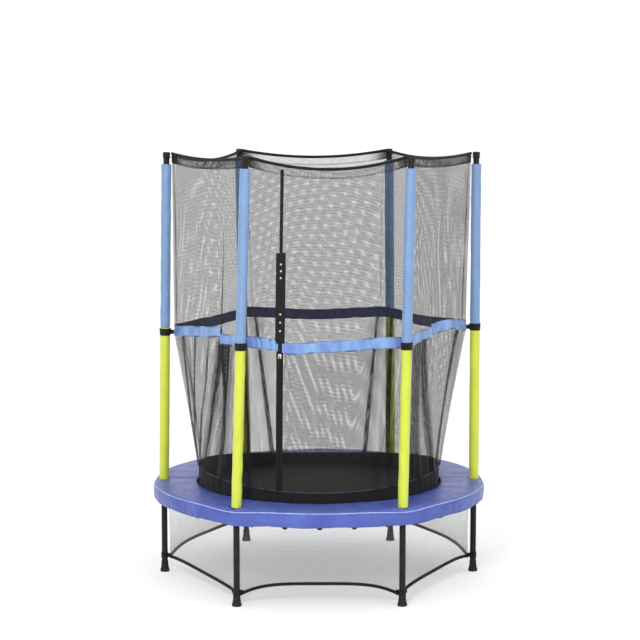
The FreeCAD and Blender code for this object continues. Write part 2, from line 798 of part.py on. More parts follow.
def door_flap():
    return flap_strip(FLAP_LOW, FLAP_TOP, FLAP_HALF, FLAP_LIFT, FLAP_T)


def door_seam():
    """Tape over the stitched join from the flap up to the hem."""
    high = HEAD_Z - HEAD_SAG["front"] - ROPE_R - 2
    return flap_strip(FLAP_TOP + LAP, high, DOOR_SEAM_HALF, SEAM_LIFT, NET_T)


def snap_studs():
    studs = []
    for z in STUD_HEIGHTS:
        base = flap_point(0, z, FLAP_LIFT + FLAP_T + STUD_GAP)
        studs.append(Part.makeCylinder(STUD_R, STUD_T, base, panel_outward(0, z)))
    return Part.makeCompound(studs)


# Netting between the legs

def apron_net():
    """Six panels from the ring down to the arched hem between two legs."""
    panels = []
    start = width_fraction(TIE_R + 4, SITE_R)
    for side, angle in SIDES.items():
        fracs = fractions(start, 1 - start)
        high = [at(arc_angle(angle, fraction), APRON_TOP_R, APRON_TOP) for fraction in fracs]
        low = [hem_point(side, fraction) + UP * (HEM_R + NET_OFF_HEM) for fraction in fracs]
        panels.append(flat_sheet([low, high], radial(angle), NET_T))
    return Part.makeCompound(panels)


def hem_point(side, fraction):
    """Point on the hem's centre line: straight in plan, arched upwards."""
    ends = []
    for angle in (SIDES[side] - HALF_SIDE, SIDES[side] + HALF_SIDE):
        ends.append(at(angle, APRON_FOOT_R, HEM_AT_LEG[site_at(angle)]))
    start, end = ends
    return start + (end - start) * fraction + UP * droop(fraction, HEM_RISE[side])


def apron_hem():
    start = width_fraction(TIE_R + 2, SITE_R)
    runs = []
    for side in SIDES:
        ends = [hem_point(side, fraction) for fraction in (start, 0.5, 1 - start)]
        runs.append(arc_cord(*ends, HEM_R))
    return Part.makeCompound(runs)


def leg_tie(angle):
    """Webbing tied round the leg just above the foot."""
    low = HEM_AT_LEG[site_at(angle)] - TIE_BELOW
    return stood_at(tube(TIE_R, TUBE_R + 0.3, low, low + TIE_H), angle)


os.makedirs("parts", exist_ok=True)

for site, angle in SITES.items():
    save(leg(angle), f"leg_{site}")
    save(lower_post(angle), f"lower_post_{site}")
    save(upper_post(angle), f"upper_post_{site}")
for side, angle in SIDES.items():
    save(ring_tube(angle), f"ring_tube_{side}")

save(at_each_site(corner_fitting), "corner_fittings")
save(ring_screws(), "ring_screws")
save(at_each_site(leg_screw), "leg_screws")
save(at_each_site(rubber_foot), "rubber_feet")
save(at_each_site(lower_sleeve), "lower_foam_sleeves")
save(at_each_site(upper_sleeve), "upper_foam_sleeves")
save(at_each_site(post_cap), "post_caps")
save(at_each_site(post_strap), "post_straps")
save(at_each_site(rope_tie), "rope_ties")

save(mat(), "jumping_mat")
save(mat_webbing(), "mat_webbing")
save(mat_rings(), "mat_rings")
save(elastic_loops(), "elastic_loops")
save(loop_balls(), "loop_balls")

foam_pieces = pad_foam()
save(Part.makeCompound(foam_pieces), "pad_foam")
save(pad_cover(foam_pieces), "pad_cover")
save(pad_skirt(), "pad_skirt")

save(foot_band(), "net_foot_band")
save(lower_net(), "lower_net")
save(middle_band(), "middle_band")
save(upper_net(), "upper_net")
save(top_hem(), "top_hem")
save(top_rope(), "top_rope")

save(zip_tape(), "zip_tape")
save(zip_teeth(), "zip_teeth")
save(zip_slider(), "zip_slider")
save(zip_pull(), "zip_pull")
save(door_flap(), "door_flap")
save(door_seam(), "door_seam")
save(snap_studs(), "snap_studs")

save(apron_net(), "apron_net")
save(apron_hem(), "apron_hem")
save(at_each_site(leg_tie), "leg_ties")
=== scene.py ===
"""Looks of a child's enclosed trampoline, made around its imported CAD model.

Metres, +Z up, door side at -Y.
"""
import math

import bmesh
import bpy
import numpy as np
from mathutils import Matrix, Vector


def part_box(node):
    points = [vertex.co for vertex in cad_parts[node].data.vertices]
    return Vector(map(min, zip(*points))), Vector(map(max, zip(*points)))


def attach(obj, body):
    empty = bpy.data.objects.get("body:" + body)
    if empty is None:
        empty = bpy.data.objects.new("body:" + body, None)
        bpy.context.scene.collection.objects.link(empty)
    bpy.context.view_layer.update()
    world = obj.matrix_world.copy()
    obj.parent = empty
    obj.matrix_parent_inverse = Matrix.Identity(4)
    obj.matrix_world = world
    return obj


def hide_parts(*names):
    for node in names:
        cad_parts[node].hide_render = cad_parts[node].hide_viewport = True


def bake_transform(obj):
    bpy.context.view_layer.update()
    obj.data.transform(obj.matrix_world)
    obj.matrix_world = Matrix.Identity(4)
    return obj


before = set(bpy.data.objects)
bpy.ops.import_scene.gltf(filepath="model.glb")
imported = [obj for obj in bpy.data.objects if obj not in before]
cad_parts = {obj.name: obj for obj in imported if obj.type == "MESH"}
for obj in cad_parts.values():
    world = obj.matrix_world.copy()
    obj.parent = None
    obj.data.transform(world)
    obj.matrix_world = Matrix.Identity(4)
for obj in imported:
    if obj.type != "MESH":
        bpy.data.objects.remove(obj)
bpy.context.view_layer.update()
chance = np.random.default_rng(11)

UP = np.array([0.0, 0.0, 1.0])
MM = 0.001

# Sites hold a leg and a net post; sides are the spans between them. Angles turn from -Y towards +X.
SITES = {"front_left": -30, "front_right": 30, "right": 90,
         "back_right": 150, "back_left": 210, "left": 270}
SIDES = {"front": 0, "right_front": 60, "right_back": 120,
         "back": 180, "left_back": 240, "left_front": 300}
HALF_SIDE = 30.0

# Places read from the CAD nodes
SITE_R = (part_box("leg_right")[0].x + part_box("leg_right")[1].x) / 2
TUBE_R = (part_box("leg_right")[1].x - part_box("leg_right")[0].x) / 2
POST_BASE = 381 * MM
# The net's pull leans each post sideways, and the left one inwards too, in degrees
SIDEWAYS_LEAN = {"front_left": 2.0, "front_right": 1.3, "right": 0.5,
                 "back_right": 0.6, "back_left": 1.1, "left": 1.0}
INWARD_LEAN = {"left": 1.0}
POST_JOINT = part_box("lower_foam_sleeves")[1].z
SLEEVE_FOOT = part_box("lower_foam_sleeves")[0].z
SLEEVE_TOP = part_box("upper_foam_sleeves")[1].z
SLEEVE_R = 20.5 * MM
SLEEVE_BORE_R = 14.0 * MM
MAT_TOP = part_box("jumping_mat")[1].z
MAT_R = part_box("jumping_mat")[1].x
NET_FOOT_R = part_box("net_foot_band")[1].x
PAD_IN_R = 515.5 * MM
PAD_OUT_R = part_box("pad_skirt")[1].x
PAD_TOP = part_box("pad_cover")[1].z
SKIRT_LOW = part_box("pad_skirt")[0].z

# Net enclosure: its corners lean sideways with the posts
NET_WAIST_R, NET_HEAD_R = 620 * MM, 636 * MM
WAIST_LOW, WAIST_TOP, WAIST_SAG = 1036 * MM, 1076 * MM, 12 * MM
HEAD_Z = 1779 * MM
HEAD_SAG = {"front": 48 * MM, "right_front": 12 * MM, "right_back": 27 * MM,
            "back": 30 * MM, "left_back": 36 * MM, "left_front": 18 * MM}
ROPE_R = 6.2 * MM
HEM_H = 30 * MM
CAP_NECK_R = 13 * MM
STRAP_DOWN = {"front_left": 10 * MM, "front_right": 10 * MM, "left": 19 * MM}
ZIP_FOOT_X, ZIP_WAIST_X, ZIP_HEAD_X = -162 * MM, -156 * MM, -144 * MM
ZIP_TAPE_HALF = 13.5 * MM

# Netting between the legs
APRON_TOP_R, APRON_TOP = 638 * MM, 348 * MM
APRON_FOOT_R = 636 * MM
APRON_HEM_R = 7.0 * MM
HEM_AT_LEG = {"front_left": 54 * MM, "front_right": 54 * MM, "right": 64 * MM,
              "back_right": 80 * MM, "back_left": 80 * MM, "left": 64 * MM}
HEM_DIP = {"front_left": 13 * MM, "front_right": 13 * MM}
HEM_RISE = {"front": 44 * MM, "right_front": 19 * MM, "right_back": 48 * MM,
            "back": 36 * MM, "left_back": 42 * MM, "left_front": 10 * MM}
TIE_BELOW, TIE_H = 6 * MM, 24 * MM


# Directions and places, on whole arrays of angles at once

def radial(angle):
    turn = np.radians(angle)
    return np.stack([np.sin(turn), -np.cos(turn), 0 * turn], -1)


def along(angle):
    turn = np.radians(angle)
    return np.stack([np.cos(turn), np.sin(turn), 0 * turn], -1)


def at(angle, radius, z):
    angle, radius, z = np.broadcast_arrays(np.asarray(angle, float), radius, z)
    return radial(angle) * radius[..., None] + UP * z[..., None]


def site_at(angle):
    return min(SITES, key=lambda site: abs((angle - SITES[site] + 180) % 360 - 180))


def leaned(angle, radius, z):
    """A point that leans with the post at a site's angle."""
    site = site_at(angle)
    rise = np.asarray(z, float) - POST_BASE
    sideways = rise * math.tan(math.radians(SIDEWAYS_LEAN[site]))
    inward = rise * math.tan(math.radians(INWARD_LEAN.get(site, 0.0)))
    return at(angle, radius - inward, z) + along(np.float64(angle)) * sideways[..., None]


def around_post(turn, turns):
    """Outward and sideways directions at a site, and a unit circle round its post."""
    out, side = radial(np.float64(turn)), along(np.float64(turn))
    return out, side, -np.sin(turns)[..., None] * out + np.cos(turns)[..., None] * side


def chord(side, share, radius, z, sag=0.0):
    """Point between two leaning net corners, hanging below the straight line by a sag."""
    share, z = np.broadcast_arrays(np.asarray(share, float), z)
    start = leaned(side - HALF_SIDE, radius, z)
    end = leaned(side + HALF_SIDE, radius, z)
    point = start + (end - start) * share[..., None]
    point[..., 2] -= sag * 4 * share * (1 - share)
    return point


def arc_angle(side, share):
    return side + HALF_SIDE * (2 * np.asarray(share, float) - 1)


def foot_band_top(angle):
    """The black foot band is higher at the sides than at the back."""
    turn = np.radians(angle)
    return (452.75 + 12.5 * np.cos(turn) - 20.25 * np.cos(2 * turn)) * MM


def bell(value, middle, width):
    return np.exp(-(((value - middle) / width) ** 2))


def ripple(u, v, waves):
    """Sum of sine waves, each (height, waves along u, waves along v, phase)."""
    total = 0 * u
    for height, across, up, phase in waves:
        total = total + height * np.sin(2 * math.pi * (across * u + up * v) + phase)
    return total


def random_waves(count, height, across, up):
    """Waves with random numbers of periods in the given ranges."""
    return [(height * chance.uniform(0.4, 1.0), chance.integers(*across), chance.uniform(*up),
             chance.uniform(0, 2 * math.pi)) for _ in range(count)]


# Finishes: procedural node materials, with detail at its real size

def nodes_for(name, colour, roughness, metallic=0.0, sheen=0.0, coat=0.0, specular=0.5):
    material = bpy.data.materials.new(name)
    material.use_nodes = True
    tree = material.node_tree
    shader = tree.nodes["Principled BSDF"]
    shader.inputs["Base Color"].default_value = (*colour, 1)
    shader.inputs["Roughness"].default_value = roughness
    shader.inputs["Metallic"].default_value = metallic
    shader.inputs["Sheen Weight"].default_value = sheen
    shader.inputs["Sheen Roughness"].default_value = 0.4
    shader.inputs["Coat Weight"].default_value = coat
    shader.inputs["Coat Roughness"].default_value = 0.25
    shader.inputs["Specular IOR Level"].default_value = specular
    return material, tree, shader


def link(tree, start, end):
    tree.links.new(start, end)


def math_node(tree, operation, first, second=None):
    node = tree.nodes.new("ShaderNodeMath")
    node.operation = operation
    for socket, value in zip(node.inputs, (first, second)):
        if value is None:
            continue
        if isinstance(value, (int, float)):
            socket.default_value = value
        else:
            link(tree, value, socket)
    return node.outputs[0]


def noise(tree, scale, detail=3.0, stretch=(1, 1, 1), source="object"):
    """Noise of about 1/scale metres, from the piece's own place or along its cloth."""
    if source == "object":
        start = tree.nodes.new("ShaderNodeTexCoord").outputs["Object"]
    else:
        start = cloth_vector(tree)
    mapping = tree.nodes.new("ShaderNodeMapping")
    mapping.inputs["Scale"].default_value = stretch
    link(tree, start, mapping.inputs["Vector"])
    texture = tree.nodes.new("ShaderNodeTexNoise")
    texture.inputs["Scale"].default_value = scale
    texture.inputs["Detail"].default_value = detail
    link(tree, mapping.outputs["Vector"], texture.inputs["Vector"])
    return texture.outputs["Fac"]


def cloth_vector(tree):
    """Place along the cloth in metres: u across, v up."""
    attribute = tree.nodes.new("ShaderNodeAttribute")
    attribute.attribute_name = "cloth"
    return attribute.outputs["Vector"]


def cloth_axes(tree):
    split = tree.nodes.new("ShaderNodeSeparateXYZ")
    link(tree, cloth_vector(tree), split.inputs[0])
    return split.outputs["X"], split.outputs["Y"]


def threads(tree, axis, pitch):
    """Rises and falls once per thread."""
    return math_node(tree, "SINE", math_node(tree, "MULTIPLY", axis, 2 * math.pi / pitch))


def weave(tree, pitch_u, pitch_v):
    """Plain weave: threads over and under in turn."""
    u, v = cloth_axes(tree)
    return math_node(tree, "MULTIPLY", threads(tree, u, pitch_u), threads(tree, v, pitch_v))


def vary_colour(tree, shader, low, high, factor):
    """Colour between two values by a pattern."""
    ramp = tree.nodes.new("ShaderNodeValToRGB")
    ramp.color_ramp.elements[0].position = 0.3
    ramp.color_ramp.elements[1].position = 0.7
    ramp.color_ramp.elements[0].color = (*low, 1)
    ramp.color_ramp.elements[1].color = (*high, 1)
    link(tree, factor, ramp.inputs["Fac"])
    link(tree, ramp.outputs["Color"], shader.inputs["Base Color"])


def vary_roughness(tree, shader, low, high, factor):
    spread = tree.nodes.new("ShaderNodeMapRange")
    spread.inputs["From Min"].default_value = 0.3
    spread.inputs["From Max"].default_value = 0.7
    spread.inputs["To Min"].default_value = low
    spread.inputs["To Max"].default_value = high
    link(tree, factor, spread.inputs["Value"])
    link(tree, spread.outputs[0], shader.inputs["Roughness"])


def raise_surface(tree, shader, *layers):
    """Bump from (pattern, height in metres) layers, one on another."""
    normal = None
    for pattern, height in layers:
        bump = tree.nodes.new("ShaderNodeBump")
        bump.inputs["Strength"].default_value = 1.0
        bump.inputs["Distance"].default_value = height
        link(tree, pattern, bump.inputs["Height"])
        if normal is not None:
            link(tree, normal, bump.inputs["Normal"])
        normal = bump.outputs["Normal"]
    link(tree, normal, shader.inputs["Normal"])


def shade(colour, factor):
    return tuple(min(1.0, channel * factor) for channel in colour)


def painted_steel():
    colour = (0.010, 0.009, 0.009)
    material, tree, shader = nodes_for("black_frame_paint", colour, 0.36, specular=0.18)
    mottle = noise(tree, 40)
    vary_colour(tree, shader, shade(colour, 0.8), shade(colour, 1.5), mottle)
    vary_roughness(tree, shader, 0.30, 0.46, mottle)
    raise_surface(tree, shader, (noise(tree, 900, 2), 0.00006))
    return material


def bright_metal(name, colour, roughness):
    material, tree, shader = nodes_for(name, colour, roughness, metallic=1.0)
    scuffs = noise(tree, 600, 4, (1, 1, 0.15))
    vary_colour(tree, shader, shade(colour, 0.75), shade(colour, 1.1), noise(tree, 150))
    vary_roughness(tree, shader, roughness - 0.1, roughness + 0.15, scuffs)
    raise_surface(tree, shader, (scuffs, 0.00003))
    return material


def moulded(name, colour, roughness, grain=1400, depth=0.00005):
    """Moulded plastic or rubber with a fine grain."""
    material, tree, shader = nodes_for(name, colour, roughness, specular=0.18)
    vary_colour(tree, shader, shade(colour, 0.8), shade(colour, 1.3), noise(tree, 60))
    vary_roughness(tree, shader, roughness - 0.08, roughness + 0.1, noise(tree, 120))
    raise_surface(tree, shader, (noise(tree, grain, 2), depth))
    return material


def foam_sleeve(name, colour):
    """Soft PVC skin on a foam tube: satin, slightly dimpled by the foam inside."""
    material, tree, shader = nodes_for(name, colour, 0.42, sheen=0.15)
    cells = noise(tree, 260, 3)
    vary_colour(tree, shader, shade(colour, 0.93), shade(colour, 1.05), noise(tree, 30, 4, (1, 1, 0.4)))
    vary_roughness(tree, shader, 0.36, 0.5, cells)
    raise_surface(tree, shader, (cells, 0.0004), (noise(tree, 1500, 2), 0.00006))
    return material


def vinyl():
    """Pebble-grained PVC over foam."""
    colour = (0.060, 0.088, 0.345)
    material, tree, shader = nodes_for("blue_vinyl", colour, 0.36, coat=0.08, specular=0.35)
    clouds = noise(tree, 9, 4)
    vary_colour(tree, shader, (0.048, 0.068, 0.310), (0.072, 0.112, 0.380), clouds)
    vary_roughness(tree, shader, 0.32, 0.46, noise(tree, 50))
    cells = tree.nodes.new("ShaderNodeTexVoronoi")
    cells.inputs["Scale"].default_value = 900
    link(tree, tree.nodes.new("ShaderNodeTexCoord").outputs["Object"], cells.inputs["Vector"])
    raise_surface(tree, shader, (noise(tree, 45, 4), 0.0012), (cells.outputs["Distance"], 0.00012))
    return material


def satin():
    """Shiny woven ribbon cloth with a fine cross rib and a sewn edge; broad light and dark patches in its
    colour are painted sheen and painted shade.
    """
    colour = (0.13, 0.27, 0.50)
    material, tree, shader = nodes_for("blue_satin", colour, 0.28, sheen=0.1, specular=0.8)
    # Painted sheen and shade: broad lighter and darker patches in the colour stand in for light catching the
    # satin's folds and shade between them.
    painted_sheen_and_shade = noise(tree, 14, 5, (1, 0.4, 1), "cloth")
    vary_colour(tree, shader, (0.060, 0.105, 0.36), (0.19, 0.37, 0.62), painted_sheen_and_shade)
    vary_roughness(tree, shader, 0.24, 0.4, noise(tree, 300, 2, source="cloth"))
    raise_surface(tree, shader, (noise(tree, 45, 3, (1, 0.35, 1), "cloth"), 0.0030),
                  (weave(tree, 0.0009, 0.0006), 0.00005))
    return material


def woven(name, colour, roughness, pitch_u, pitch_v, depth, sheen=0.02):
    """Plain-woven cloth or webbing."""
    material, tree, shader = nodes_for(name, colour, roughness, sheen=sheen, specular=0.14)
    over = weave(tree, pitch_u, pitch_v)
    fading = noise(tree, 80, 4, source="cloth")
    vary_colour(tree, shader, shade(colour, 0.75), shade(colour, 1.35), fading)
    rubbing = noise(tree, 200, 2, source="cloth")
    vary_roughness(tree, shader, roughness - 0.08, min(1, roughness + 0.1), rubbing)
    raise_surface(tree, shader, (over, depth))
    return material


def yarn(name, colour, roughness=0.6, sheen=0.05):
    """Twisted polyester thread of the netting."""
    material, tree, shader = nodes_for(name, colour, roughness, sheen=sheen, specular=0.14)
    vary_colour(tree, shader, shade(colour, 0.7), shade(colour, 1.4), noise(tree, 700, 2))
    return material


def open_foam():
    colour = (0.75, 0.74, 0.70)
    material, tree, shader = nodes_for("white_foam", colour, 0.9)
    pores = noise(tree, 1200, 3)
    vary_colour(tree, shader, shade(colour, 0.8), shade(colour, 1.05), pores)
    raise_surface(tree, shader, (pores, 0.0004))
    return material


BLACK = (0.012, 0.011, 0.011)
FINISH = {
    "black_frame_paint": painted_steel(),
    "zinc_steel": bright_metal("zinc_steel", (0.55, 0.56, 0.58), 0.35),
    "silver_metal": bright_metal("silver_metal", (0.80, 0.80, 0.80), 0.25),
    "black_rubber": moulded("black_rubber", (0.014, 0.013, 0.013), 0.65, 800, 0.0001),
    "black_plastic": moulded("black_plastic", (0.012, 0.011, 0.011), 0.42),
    "lime_sleeve": foam_sleeve("lime_sleeve", (0.49, 0.56, 0.045)),
    "blue_sleeve": foam_sleeve("blue_sleeve", (0.145, 0.245, 0.43)),
    "black_webbing": woven("black_webbing", BLACK, 0.55, 0.0024, 0.0016, 0.0003),
    "black_elastic": woven("black_elastic", (0.015, 0.014, 0.014), 0.6, 0.0016, 0.0016, 0.0002),
    "mat_fabric": woven("mat_fabric", (0.012, 0.0105, 0.0085), 0.55, 0.0022, 0.0022, 0.0002),
    "white_foam": open_foam(),
    "blue_vinyl": vinyl(),
    "blue_satin": satin(),
    "band_lining": woven("band_lining", (0.030, 0.036, 0.080), 0.6, 0.0012, 0.0012, 0.0001),
    "black_net": yarn("black_net", BLACK),
    "black_hem": yarn("black_hem", (0.010, 0.009, 0.009)),
    "trim": woven("trim", (0.040, 0.038, 0.075), 0.6, 0.0012, 0.0012, 0.0001),
    # Lighter blue of the ridge welt and its stitches: a painted highlight along the pad's ridge.
    "painted_highlight_vinyl": woven("painted_highlight_vinyl", (0.40, 0.50, 0.82), 0.45, 0.0012, 0.0012, 0.00008),
    "grey_net": yarn("grey_net", (0.20, 0.21, 0.22)),
}


# Meshes from arrays of points


def mesh_object(name, points, faces, finish, cloth=None, smooth=True):
    mesh = bpy.data.meshes.new(name)
    points = np.ascontiguousarray(points, np.float32).reshape(-1, 3)
    faces = np.ascontiguousarray(faces, np.int32)
    count, corners = faces.shape
    mesh.vertices.add(len(points))
    mesh.vertices.foreach_set("co", points.ravel())
    mesh.loops.add(count * corners)
    mesh.loops.foreach_set("vertex_index", faces.ravel())
    mesh.polygons.add(count)
    mesh.polygons.foreach_set("loop_start", np.arange(0, count * corners, corners, dtype=np.int32))
    mesh.polygons.foreach_set("use_smooth", np.full(count, smooth))
    mesh.update(calc_edges=True)
    if cloth is not None:
        flat = np.zeros((len(points), 3), np.float32)
        flat[:, :2] = np.asarray(cloth, float).reshape(-1, 2)
        attribute = mesh.attributes.new("cloth", "FLOAT_VECTOR", "POINT")
        attribute.data.foreach_set("vector", flat.ravel())
    piece = bpy.data.objects.new(name, mesh)
    bpy.context.scene.collection.objects.link(piece)
    mesh.materials.append(FINISH[finish])
    return piece


def lattice_faces(rows, columns, wrap=False, wrap_rows=False):
    """Quads of a grid of points; wrap joins its last column to its first."""
    index = np.arange(rows * columns).reshape(rows, columns)
    if wrap:
        index = np.concatenate([index, index[:, :1]], 1)
    if wrap_rows:
        index = np.concatenate([index, index[:1]], 0)
    return np.stack([index[:-1, :-1], index[:-1, 1:], index[1:, 1:], index[1:, :-1]], -1).reshape(-1, 4)


def spans(points, axis):
    """Running length along one axis of a grid of points."""
    steps = np.linalg.norm(np.diff(points, axis=axis), axis=-1)
    start = np.zeros_like(np.take(steps, [0], axis))
    return np.concatenate([start, np.cumsum(steps, axis)], axis)


def lattice(name, points, finish, wrap=False, wrap_rows=False):
    """Sheet through a (rows, columns) grid of points, with its lengths kept for the weave."""
    rows, columns = points.shape[:2]
    cloth = np.stack([spans(points, 1), spans(points, 0)], -1)
    return mesh_object(name, points, lattice_faces(rows, columns, wrap, wrap_rows), finish, cloth)


def thicken(piece, thickness, offset=-1.0, lining=None):
    """Gives a sheet its thickness; a lining is the finish of its inner face."""
    solid = piece.modifiers.new("thickness", "SOLIDIFY")
    solid.thickness = thickness
    solid.offset = offset
    if lining:
        piece.data.materials.append(FINISH[lining])
        solid.material_offset = 1
    return piece


def tube(name, path, radius, finish, sides=10, closed=False, across=None, relief=None):
    """Round bar along a path. relief(turn, run) scales its radius for twist or braid."""
    path = np.asarray(path, float)
    if closed:
        tangent = np.roll(path, -1, 0) - np.roll(path, 1, 0)
        run = np.concatenate([[0], np.cumsum(np.linalg.norm(np.diff(path, axis=0), axis=1))])
    else:
        tangent = np.gradient(path, axis=0)
        run = spans(path, 0)
    tangent /= np.linalg.norm(tangent, axis=1, keepdims=True)
    side = np.cross(UP, tangent) if across is None else np.broadcast_to(across, tangent.shape)
    side = side / np.linalg.norm(side, axis=1, keepdims=True)
    out = np.cross(tangent, side)
    turn = np.linspace(0, 2 * math.pi, sides, endpoint=False)
    reach = np.full((len(path), sides), radius, float)
    if relief is not None:
        reach = reach * relief(turn[None, :], run[:, None])
    ring = side[:, None] * np.cos(turn)[None, :, None] + out[:, None] * np.sin(turn)[None, :, None]
    points = path[:, None] + ring * reach[..., None]
    cloth = np.stack(np.broadcast_arrays(turn[None, :] * radius, run[:, None]), -1)
    faces = lattice_faces(len(path), sides, wrap=True, wrap_rows=closed)
    piece = mesh_object(name, points, faces, finish, cloth)
    if not closed:
        close_ends(piece, len(path), sides)
    return piece


def close_ends(piece, rings, sides):
    """Rounded caps on the two ends of a tube."""
    built = bmesh.new()
    built.from_mesh(piece.data)
    built.verts.ensure_lookup_table()
    first = [built.verts[i] for i in range(sides)]
    last = [built.verts[(rings - 1) * sides + i] for i in range(sides)]
    for ends in (first[::-1], last):
        built.faces.new(ends)
    built.normal_update()
    built.to_mesh(piece.data)
    built.free()


# Netting: six-sided holes between knitted threads, as real geometry

NET_CELL = (5.2 * MM, 5.6 * MM)


def knit(name, surface, width, height, thread, finish, cell=NET_CELL):
    """Netting over surface(u, v), with u and v from 0 to 1. thread(u, v) is the share of a
    cell's width that its threads take up: more where the cloth is gathered."""
    columns = 2 * max(2, round(width / cell[0]))
    rows = max(2, round(height / cell[1]))
    row, column = np.mgrid[0:rows + 1, 0:columns + 1]
    zigzag = np.where((column - row) % 2 == 0, -0.17, 0.17)
    zigzag[(row == 0) | (row == rows)] = 0
    uneven = chance.uniform(-0.10, 0.10, (2, *row.shape))
    uneven[:, (row == 0) | (row == rows) | (column == 0) | (column == columns)] = 0
    outer = np.stack([(column + 1.5 * uneven[0]) / columns, (row + zigzag + uneven[1]) / rows], -1)
    low, middle = np.mgrid[0:rows, 1:columns]
    centre = (middle - low) % 2 == 0
    low, middle = low[centre], middle[centre]
    high = low + 1
    corners = np.stack([np.stack([low, middle], -1), np.stack([low, middle + 1], -1),
                        np.stack([high, middle + 1], -1), np.stack([high, middle], -1),
                        np.stack([high, middle - 1], -1), np.stack([low, middle - 1], -1)], 1)
    corner_index = corners[..., 0] * (columns + 1) + corners[..., 1]
    flat = outer.reshape(-1, 2)
    around = flat[corner_index]
    hole = around.mean(1, keepdims=True)
    share = thread(hole[..., 0], hole[..., 1]) if callable(thread) else thread + 0 * hole[..., 0]
    inner = hole + (around - hole) * (1 - share[..., None])
    cells = len(low)
    inner_index = len(flat) + np.arange(cells * 6).reshape(cells, 6)
    ahead = np.roll(np.arange(6), -1)
    faces = np.stack([corner_index, corner_index[:, ahead], inner_index[:, ahead], inner_index], -1)
    flat = np.concatenate([flat, inner.reshape(-1, 2)])
    used = np.zeros(len(flat), bool)
    used[faces.reshape(-1)] = True
    renumber = np.cumsum(used) - 1
    flat = flat[used]
    points = surface(flat[:, 0], flat[:, 1])
    return mesh_object(name, points, renumber[faces.reshape(-1, 4)], finish)


def pleat(u, middle, width, swing, depth):
    """A fold that doubles back: how far it shifts the cloth along u, and off its plane."""
    step = (u - middle) / width
    fall = np.exp(-step ** 2 / 2)
    return -swing * width * step * fall, depth * step * np.sqrt(fall)


def side_outward(side):
    return radial(np.float64(side))


# Line of the middle band on each side: (share, metres above its usual height, metres outwards)
BAND_LINE = {
    "front": [(0.0, 0.0, 0.0), (0.10, -0.006, 0.001), (0.17, -0.013, 0.002), (0.30, -0.031, 0.004),
              (0.48, -0.023, 0.001), (0.64, -0.019, 0.003), (0.90, -0.007, 0.0), (1.0, -0.007, 0.0)],
    "left_front": [(0.0, -0.020, 0.0), (0.06, -0.017, 0.0), (0.27, -0.006, 0.002), (0.43, 0.003, -0.001),
                   (0.685, 0.020, -0.002), (0.705, -0.006, 0.016), (0.77, -0.007, 0.012),
                   (0.86, -0.005, 0.006), (1.0, -0.005, 0.0)],
    "right_front": [(0.0, -0.012, 0.0), (0.18, -0.004, 0.008), (0.27, 0.004, 0.011), (0.425, 0.006, 0.006),
                    (0.455, 0.017, -0.004), (0.57, 0.022, 0.004), (0.73, 0.025, 0.018), (0.86, 0.012, 0.008),
                    (1.0, 0.0, 0.0)],
    "left_back": [(0.0, 0.0, 0.0), (0.5, -0.010, -0.008), (1.0, -0.016, 0.0)],
    "right_back": [(0.0, 0.0, 0.0), (0.5, -0.010, -0.008), (1.0, 0.0, 0.0)],
    "back": [(0.0, 0.0, 0.0), (0.5, -0.012, 0.0), (1.0, 0.0, 0.0)],
}
BAND_MIDDLE = (WAIST_LOW + WAIST_TOP) / 2
BAND_HALF = 22.5 * MM


def eased(value, places, levels):
    """Levels joined smoothly, level at each place."""
    value = np.clip(np.asarray(value, float), places[0], places[-1])
    after = np.clip(np.searchsorted(places, value, side="right"), 1, len(places) - 1)
    start, end = places[after - 1], places[after]
    part = (value - start) / (end - start)
    part = part * part * (3 - 2 * part)
    return levels[after - 1] + (levels[after] - levels[after - 1]) * part


def band_middle(side, share):
    """Middle line of the band at shares of a side."""
    places, lifts, outs = (np.array(values) for values in zip(*BAND_LINE[side]))
    point = chord(SIDES[side], share, NET_WAIST_R, BAND_MIDDLE)
    lift, out = eased(share, places, lifts), eased(share, places, outs)
    return point + UP * lift[..., None] + side_outward(SIDES[side]) * out[..., None]


# Folds of the lower net: (side, share at the foot, share at the waist, width, swing)
def gathers(side, foot, head, count, spacing=0.034, width=0.016, swing=2.2):
    """Neighbouring narrow pleats that run together from foot to head."""
    places = (np.arange(count) - (count - 1) / 2) * spacing
    return [(side, foot + place, head + place, width, swing) for place in places]


LOWER_FOLDS = (gathers("left_front", 0.60, 0.77, 3) + gathers("left_front", 0.34, 0.68, 2)
               + gathers("right_front", 0.345, 0.215, 3) + gathers("right_front", 0.61, 0.29, 2)
               + [("left_front", 0.02, 0.13, 0.012, 1.8), ("left_front", 0.06, 0.31, 0.012, 1.8),
                  ("left_front", 0.20, 0.50, 0.010, 1.8), ("left_front", 0.94, 0.97, 0.020, 1.9),
                  ("right_front", 0.90, 0.94, 0.030, 1.9), ("right_front", 0.05, 0.03, 0.020, 1.9),
                  ("left_back", 0.12, 0.08, 0.05, 1.9), ("left_back", 0.85, 0.90, 0.05, 2.0),
                  ("right_back", 0.15, 0.10, 0.05, 2.0), ("right_back", 0.88, 0.92, 0.05, 1.9),
                  ("right_back", 0.62, 0.70, 0.03, 1.6), ("back", 0.10, 0.06, 0.05, 2.0),
                  ("back", 0.90, 0.94, 0.05, 2.0), ("front", 0.07, 0.03, 0.018, 1.6),
                  ("front", 0.94, 0.97, 0.018, 1.6)])

# Where the lower net is bunched: (share at the foot, share at the waist, half width)
BUNCHES = {"left_front": [(0.60, 0.77, 0.065), (0.34, 0.68, 0.055)],
           "right_front": [(0.345, 0.215, 0.065), (0.61, 0.29, 0.055)],
           "left_back": [(0.12, 0.08, 0.05), (0.85, 0.90, 0.05)],
           "right_back": [(0.15, 0.10, 0.05), (0.88, 0.92, 0.05)],
           "back": [(0.10, 0.06, 0.05), (0.90, 0.94, 0.05)]}

# Share of a cell's width that its threads take up
LOWER_THREAD = {"front_left": 0.17, "front_right": 0.27, "left_front": 0.26, "right_front": 0.29}
UPPER_THREAD = {"front_left": 0.21, "front_right": 0.21, "left_front": 0.21, "right_front": 0.28}
USUAL_THREAD = 0.20


